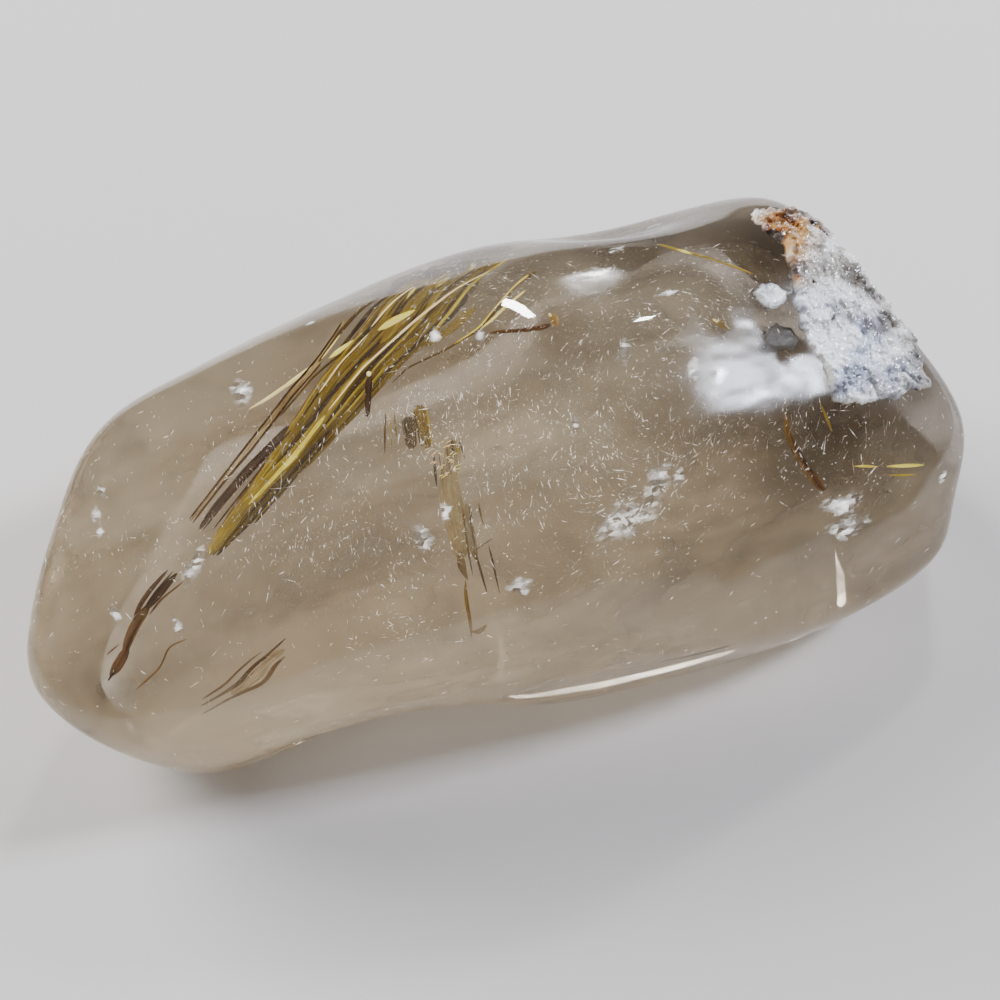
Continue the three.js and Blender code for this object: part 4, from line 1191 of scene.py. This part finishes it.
# Where sparkles crowd: middle, radius, weight.
CROWDED = [
    ((3.0, -2.0, 12.8), 9.0, 1.2), ((12.0, -4.0, 12.8), 7.0, 1.0), ((-7.0, -7.0, 9.5), 7.0, 0.9),
    ((-3.0, 6.0, 13.5), 6.0, 0.5), ((10.0, 6.0, 13.0), 5.0, 0.9), ((20.0, 3.0, 12.5), 6.0, 0.7),
    ((7.0, -13.0, 7.5), 6.0, 0.5), ((-28.0, -3.0, 5.8), 7.0, 0.4), ((-35.0, 0.0, 5.8), 6.0, 0.25),
    ((2.0, 12.0, 12.0), 4.0, 0.8), ((-12.0, -14.0, 4.5), 7.0, 0.4), ((24.0, -10.0, 6.0), 6.0, 0.5),
    ((32.0, -13.0, 0.0), 6.0, 0.4), ((-18.0, -4.0, 7.5), 8.0, 0.4), ((20.0, -4.0, 11.0), 6.0, 1.2),
]

# Painted shade: where the veils turn darker and thicker, at the stone's blunt end and along the
# back rim.
SHADE_ZONES = [
    ((31.0, 6.0, 6.0), 10.0, 1.0), ((17.0, 16.0, 6.0), 9.0, 1.0), ((30.0, -9.0, 0.0), 10.0, 1.0),
    ((20.0, -11.0, 3.0), 9.0, 0.8), ((2.0, 17.0, 6.0), 8.0, 0.8), ((42.0, 0.0, 0.0), 10.0, 0.9),
    ((-14.0, 16.0, 6.0), 6.0, 0.4),
]

# Where the stone is milky near its skin, along its lower edge, which also carries a painted glow.
MILKY = [
    ((-24.0, -17.0, -6.0), 9.0, 0.9), ((-36.0, -9.0, -5.0), 8.0, 0.8),
    ((-8.0, -19.0, -5.0), 9.0, 0.7),
    ((8.0, -20.0, -4.0), 9.0, 0.6), ((24.0, -17.0, -5.0), 9.0, 0.5), ((38.0, -9.0, -7.0), 8.0, 0.4),
    ((-41.0, 2.0, 0.0), 8.0, 0.6),
]

# Cracks with painted glints: a point near the skin, half length and half width, depth, and the
# turn from the polish marks.
CRACKS = [
    ((6.8, -14.4, 6.9), (3.4, 2.2), 1.0, 0.5), ((28.5, -14.6, 0.0), (2.2, 1.3), 0.3, -0.5),
    ((27.7, -15.8, -1.9), (3.0, 1.4), 0.3, -0.5), ((9.6, -12.4, 8.0), (1.8, 1.2), 0.7, 0.4),
    ((-21.5, 6.4, 11.0), (1.5, 1.1), 0.6, 0.2),
    ((-10.3, -10.6, 6.7), (1.6, 0.9), 0.5, 0.3), ((-28.6, -5.6, 4.7), (2.2, 0.9), 0.6, -0.3),
    ((-35.3, 2.8, 6.8), (0.8, 0.6), 0.3, 0.9), ((-36.8, 0.9, 6.0), (1.0, 0.5), 0.3, 0.7),
    ((-37.4, -0.4, 5.6), (0.7, 0.4), 0.3, 0.5), ((-14.2, 11.0, 12.6), (0.7, 0.4), 0.3, 0.1),
    ((15.6, -5.0, 12.0), (0.9, 1.2), 0.5, 0.7), ((-3.9, -16.5, 4.5), (1.4, 0.8), 0.6, 0.2),
    ((-4.2, 4.7, 13.5), (0.9, 0.7), 0.5, 0.5), ((-0.7, 3.3, 13.6), (1.0, 0.5), 0.4, 0.2),
    ((14.3, 10.6, 12.4), (1.6, 0.6), 0.3, 0.3), ((11.0, 8.0, 13.0), (1.6, 1.2), 0.3, 0.2),
    ((16.2, 3.0, 13.8), (1.6, 0.5), 0.3, 0.5), ((4.6, -7.0, 11.6), (1.2, 0.6), 0.6, 0.5),
    ((-8.0, -9.5, 7.6), (1.1, 0.7), 0.5, 0.1), ((10.0, -2.0, 13.2), (1.5, 0.9), 0.5, 0.6),
    ((12.0, -12.5, 8.0), (0.9, 0.6), 0.5, 0.8), ((-36.5, -7.0, 2.5), (0.9, 0.5), 0.4, 0.3),
    ((-31.0, -9.5, 2.4), (1.3, 0.5), 0.4, 0.2), ((37.0, -12.0, -2.4), (1.0, 0.6), 0.4, 0.2),
    ((20.0, 17.0, 8.0), (1.4, 0.8), 0.5, 0.3), ((-20.0, 14.0, 2.0), (1.8, 1.2), 0.9, 0.6),
    ((2.0, 21.0, -2.0), (2.0, 1.2), 0.9, 0.2), ((30.0, 15.0, -4.0), (1.5, 1.2), 0.8, 0.5),
]

# Outlines on the skin of the rough natural face, the plate beside it and the square window.
ROUGH_OUTLINE = [
    (29.4, 12.6, 11.4), (29.0, 9.6, 12.1), (30.3, 7.4, 11.8), (29.6, 2.8, 10.9), (28.7, -1.6, 9.6),
    (29.1, -7.9, 6.4), (34.1, -7.6, 4.6),
    (40.4, -6.3, 2.6), (40.6, -1.0, 4.5), (39.4, 3.6, 6.3), (37.6, 8.6, 7.6), (35.6, 12.4, 9.2),
    (32.6, 12.6, 10.6),
]
PLATE_OUTLINE = [(24.9, 2.0, 12.3), (27.3, 2.7, 11.7), (29.3, 2.3, 10.9), (27.5, 0.9, 11.0),
                 (25.3, 0.6, 11.7)]
WINDOW_OUTLINE = [
    (24.0, -2.2, 11.1), (24.9, -1.5, 11.0), (27.2, -1.5, 10.2), (27.3, -2.2, 9.9),
    (26.7, -3.2, 9.7), (23.9, -3.4, 10.6),
]
# On the rough face: white frosting with a painted bluish highlight, darkened spots and iron stain,
# as middle, radius, strength.
FROST_AND_SHEEN = [
    ((32.0, -4.0, 7.0), 4.6, 1.5),
    ((38.0, -4.5, 4.0), 2.5, 0.4),
    ((30.0, 1.0, 10.3), 2.4, 0.5),
    ((36.5, 1.0, 6.6), 1.6, 0.4),
]
# Darkened spots on the rough face.
DARK_SPOTS = [
    ((35.0, 10.6, 10.1), 0.7, 1.0),
    ((35.9, 9.4, 9.7), 0.5, 0.9),
    ((31.4, 3.0, 10.6), 0.35, 0.8),
    ((32.0, -0.6, 9.2), 0.4, 0.7),
    ((36.4, 2.2, 6.9), 0.5, 0.7),
]
STAINS = [
    ((31.8, 9.6, 11.4), 2.6, 1.1),
    ((30.6, 5.5, 11.4), 1.6, 0.6),
    ((35.2, 9.8, 9.9), 1.0, 0.8),
    ((29.9, 3.0, 11.0), 1.1, 0.35),
]


# Rough patches: outline, grid spacing, relief, how far raised, frosting with its painted sheen all
# over, seed.
ROUGH_PATCHES = {
    "quartz_rough_face": (ROUGH_OUTLINE, 0.13, 0.5, 0.0, 0.05, 31),
    "quartz_broken_plate": (PLATE_OUTLINE, 0.09, 0.22, 0.0, 0.5, 37),
    "quartz_window_pit": (WINDOW_OUTLINE, 0.09, 0.06, -0.3, 0.0, 39),
}


class QUARTZ_OT_rough_face(Operator):
    """Build the natural face that was left rough, and the broken plate beside it"""
    bl_idname = "quartz.rough_face"
    bl_label = "Rough natural face"

    def execute(self, context):
        shape = shape_of(context.scene.quartz_stone)
        material = natural_quartz()
        for name, (outline, spacing, relief, raised, whole, seed) in ROUGH_PATCHES.items():
            points, faces = rough_patch(outline, spacing, relief, raised, shape, seed)
            ragged = 1.6 + 1.0 * layered_noise(points, 1.0, 41)
            stain = np.clip(bell_curves(points, STAINS) * ragged, 0, 1)
            uneven = 1 + 0.5 * layered_noise(points, 2.0, 43)
            # Frosting, partly painted sheen: the bluish white is thickest where the side light
            # would shine.
            frost = np.clip(whole + bell_curves(points, FROST_AND_SHEEN) * uneven, 0, 1)
            grime = np.clip(1.6 * bell_curves(points, DARK_SPOTS), 0, 1)
            # The window's clear floor is painted dark as shade, with no frosting.
            if name == "quartz_window_pit":
                frost, grime = frost * 0, grime + 0.55
            # Broken patches of two millimetres, drawn out along one slant, with finer grit on them.
            slant = points @ np.array([(0.75, 0.5, 0), (-0.9, 1.1, 0), (0, 0, 1)])
            tone = np.clip(0.58 + 0.5 * layered_noise(slant, 2.4, 45, 5), 0, 1)
            make_piece(name, points, faces, material, "quartz", smooth=False,
                       stain=stain, frost=frost, grime=grime, tone=tone)
        return {"FINISHED"}


# Clouds along the leaning plane: level, reach, crumple, and least and most cloudiness.
VEILS = [(-0.9, 0.99, 0.65, 0.15, 1.7), (-5.5, 0.98, 1.5, 0.2, 1.4)]


class QUARTZ_OT_veils(Operator):
    """Build the cloudy veils inside the stone"""
    bl_idname = "quartz.veils"
    bl_label = "Cloudy veils"

    def execute(self, context):
        shape = shape_of(context.scene.quartz_stone)
        look = context.scene.quartz_inside
        veil = cloudy_veil(look)
        # Clouds about 5 mm wide inside and 2 mm wide near the skin.
        for number, (level, reach, crumple, least, most) in enumerate(VEILS):
            points, faces, fade = veil_sheet(level, reach, crumple, shape, 51 + number)
            # Painted shade: the veils are darker and thicker at the blunt end and back rim.
            smoky = np.clip(bell_curves(points, SHADE_ZONES), 0, 1)
            cloud = fade * (1 + smoky) * cloudiness(
                points, 5.0, 51 + number, look.veil_density * least, look.veil_density * most)
            make_piece(f"quartz_veil_{number + 1}", points, faces, veil, "quartz",
                       cloud=np.clip(cloud, 0, 0.96), smoky=smoky, milk=np.zeros(len(points)))
        points, faces, fade = skin_veil(0.8, shape, 57)
        cloud = fade * cloudiness(points, 2.0, 58, 0.3, 0.95)
        # The skin veil too is painted darker in the shade zones, and carries the milk's painted
        # glow.
        make_piece("quartz_veil_skin", points, faces, veil, "quartz", cloud=np.clip(cloud, 0, 0.9),
                   smoky=np.clip(1.3 * bell_curves(points, SHADE_ZONES), 0, 1),
                   milk=np.clip(bell_curves(points, MILKY), 0, 1))
        return {"FINISHED"}


class QUARTZ_OT_sparkles(Operator):
    """Build the flecks, fine healed cracks and open fractures"""
    bl_idname = "quartz.sparkles"
    bl_label = "Flecks and fractures"

    def execute(self, context):
        look, shape = context.scene.quartz_inside, shape_of(context.scene.quartz_stone)
        fleck = bright_fleck()
        points, faces = flecks(look.sparkle_count, look.sparkle_length / MM, shape, 61)
        make_piece("quartz_flecks", points, faces, fleck, "quartz", smooth=False)
        points, faces = scratches(look.sparkle_count // 6, shape, 67)
        make_piece("quartz_fine_cracks", points, faces, fleck, "quartz")
        points, faces, fade = join([crack_sheet(*crack, shape, 71 + i)
                                    for i, crack in enumerate(CRACKS)])
        make_piece("quartz_fractures", points, faces, fracture_film(), "quartz", smooth=False,
                   fade=fade)
        return {"FINISHED"}


FLOOR_HALF = 3.0
FLOOR_LEVEL = -0.0001  # the stone stands on a few grains, with air under the rest of its base

# Lamps: turn, rise, distance, size, share of the key light's power, mirrored by polish, colour.
LAMPS = {
    "key light": (128, 27, 1.0, 0.7, 1.0, False, "FFFFFF"),
    "side light": (-6, 36, 0.7, 0.12, 0.24, True, "E9EFFF"),
    "spark light": (59, 45, 0.8, 0.07, 0.07, True, "FFFFFF"),
}


class QUARTZ_OT_stage(Operator):
    """Build the floor, the lights and the camera"""
    bl_idname = "quartz.stage"
    bl_label = "Floor, light and camera"

    def execute(self, context):
        scene, stage = context.scene, context.scene.quartz_stage
        centre = Vector(STONE_CENTRE) * MM
        right = Vector((math.cos(stage.turn), math.sin(stage.turn), 0))
        back = Vector((math.sin(stage.turn) * math.cos(stage.rise),
                       -math.cos(stage.turn) * math.cos(stage.rise), math.sin(stage.rise)))
        camera = bpy.data.objects.new("camera", bpy.data.cameras.new("camera"))
        camera.data.angle = stage.view_angle
        camera.data.clip_start = 0.01
        camera.location = centre - back.cross(right) * stage.drop + back * stage.away
        camera.rotation_euler = back.to_track_quat("Z", "Y").to_euler()
        scene.collection.objects.link(camera)
        scene.camera = camera

        mesh = bpy.data.meshes.new("floor")
        corners = [(-1, -1), (1, -1), (1, 1), (-1, 1)]
        mesh.from_pydata([(x * FLOOR_HALF, y * FLOOR_HALF, FLOOR_LEVEL) for x, y in corners],
                         [], [(0, 1, 2, 3)])
        floor = bpy.data.objects.new("floor", mesh)
        scene.collection.objects.link(floor)
        paper, tree = new_material("pale matt paper")
        add_surface(tree, {
            "Base Color": stage.floor_colour, "Roughness": 0.8, "Specular IOR Level": 0.0}, {})
        mesh.materials.append(paper)

        # The wide key light is hidden from mirrored rays, so the polish doesn't show its outline.
        for name, (turn, rise, away, size, share, mirrored, colour) in LAMPS.items():
            lamp = bpy.data.objects.new(name, bpy.data.lights.new(name, "AREA"))
            lamp.data.size = size
            lamp.data.energy = stage.key_power * share
            lamp.data.color = linear(colour)[:3]
            turn, rise = math.radians(turn), math.radians(rise)
            way = Vector((math.cos(turn) * math.cos(rise), math.sin(turn) * math.cos(rise),
                          math.sin(rise)))
            lamp.location = centre + way * away
            lamp.rotation_euler = way.to_track_quat("Z", "Y").to_euler()
            lamp.visible_glossy = mirrored
            scene.collection.objects.link(lamp)

        scene.world = bpy.data.worlds.new("studio")
        scene.world.use_nodes = True
        room = scene.world.node_tree.nodes["Background"]
        room.inputs["Color"].default_value = linear("F4F2F0")
        room.inputs["Strength"].default_value = stage.room_light
        return {"FINISHED"}


class QUARTZ_PT_panel(Panel):
    """Sizes, colours and build steps of the quartz freeform"""
    bl_idname = "QUARTZ_PT_panel"
    bl_label = "Rutilated quartz"
    bl_space_type = "VIEW_3D"
    bl_region_type = "UI"
    bl_category = "Quartz"

    def draw(self, context):
        for name, kind in GROUPS:
            box = self.layout.box()
            for key in kind.__annotations__:
                box.prop(getattr(context.scene, name), key)
        for operator in OPERATORS:
            self.layout.operator(operator.bl_idname)


GROUPS = [("quartz_stone", QuartzStoneSettings), ("quartz_rutile", RutileSettings),
          ("quartz_inside", InclusionSettings), ("quartz_stage", StageSettings)]
OPERATORS = [QUARTZ_OT_stone, QUARTZ_OT_rough_face, QUARTZ_OT_rutile, QUARTZ_OT_veils,
             QUARTZ_OT_sparkles, QUARTZ_OT_stage]
CLASSES = [kind for _, kind in GROUPS] + OPERATORS + [QUARTZ_PT_panel]


def register():
    for kind in CLASSES:
        bpy.utils.register_class(kind)
    for name, kind in GROUPS:
        setattr(bpy.types.Scene, name, PointerProperty(type=kind))


def unregister():
    for name, _ in GROUPS:
        delattr(bpy.types.Scene, name)
    for kind in reversed(CLASSES):
        bpy.utils.unregister_class(kind)


def main():
    register()
    bpy.ops.quartz.stone()
    bpy.ops.quartz.rough_face()
    bpy.ops.quartz.rutile()
    bpy.ops.quartz.veils()
    bpy.ops.quartz.sparkles()
    bpy.ops.quartz.stage()


if __name__ == "__main__":
    main()
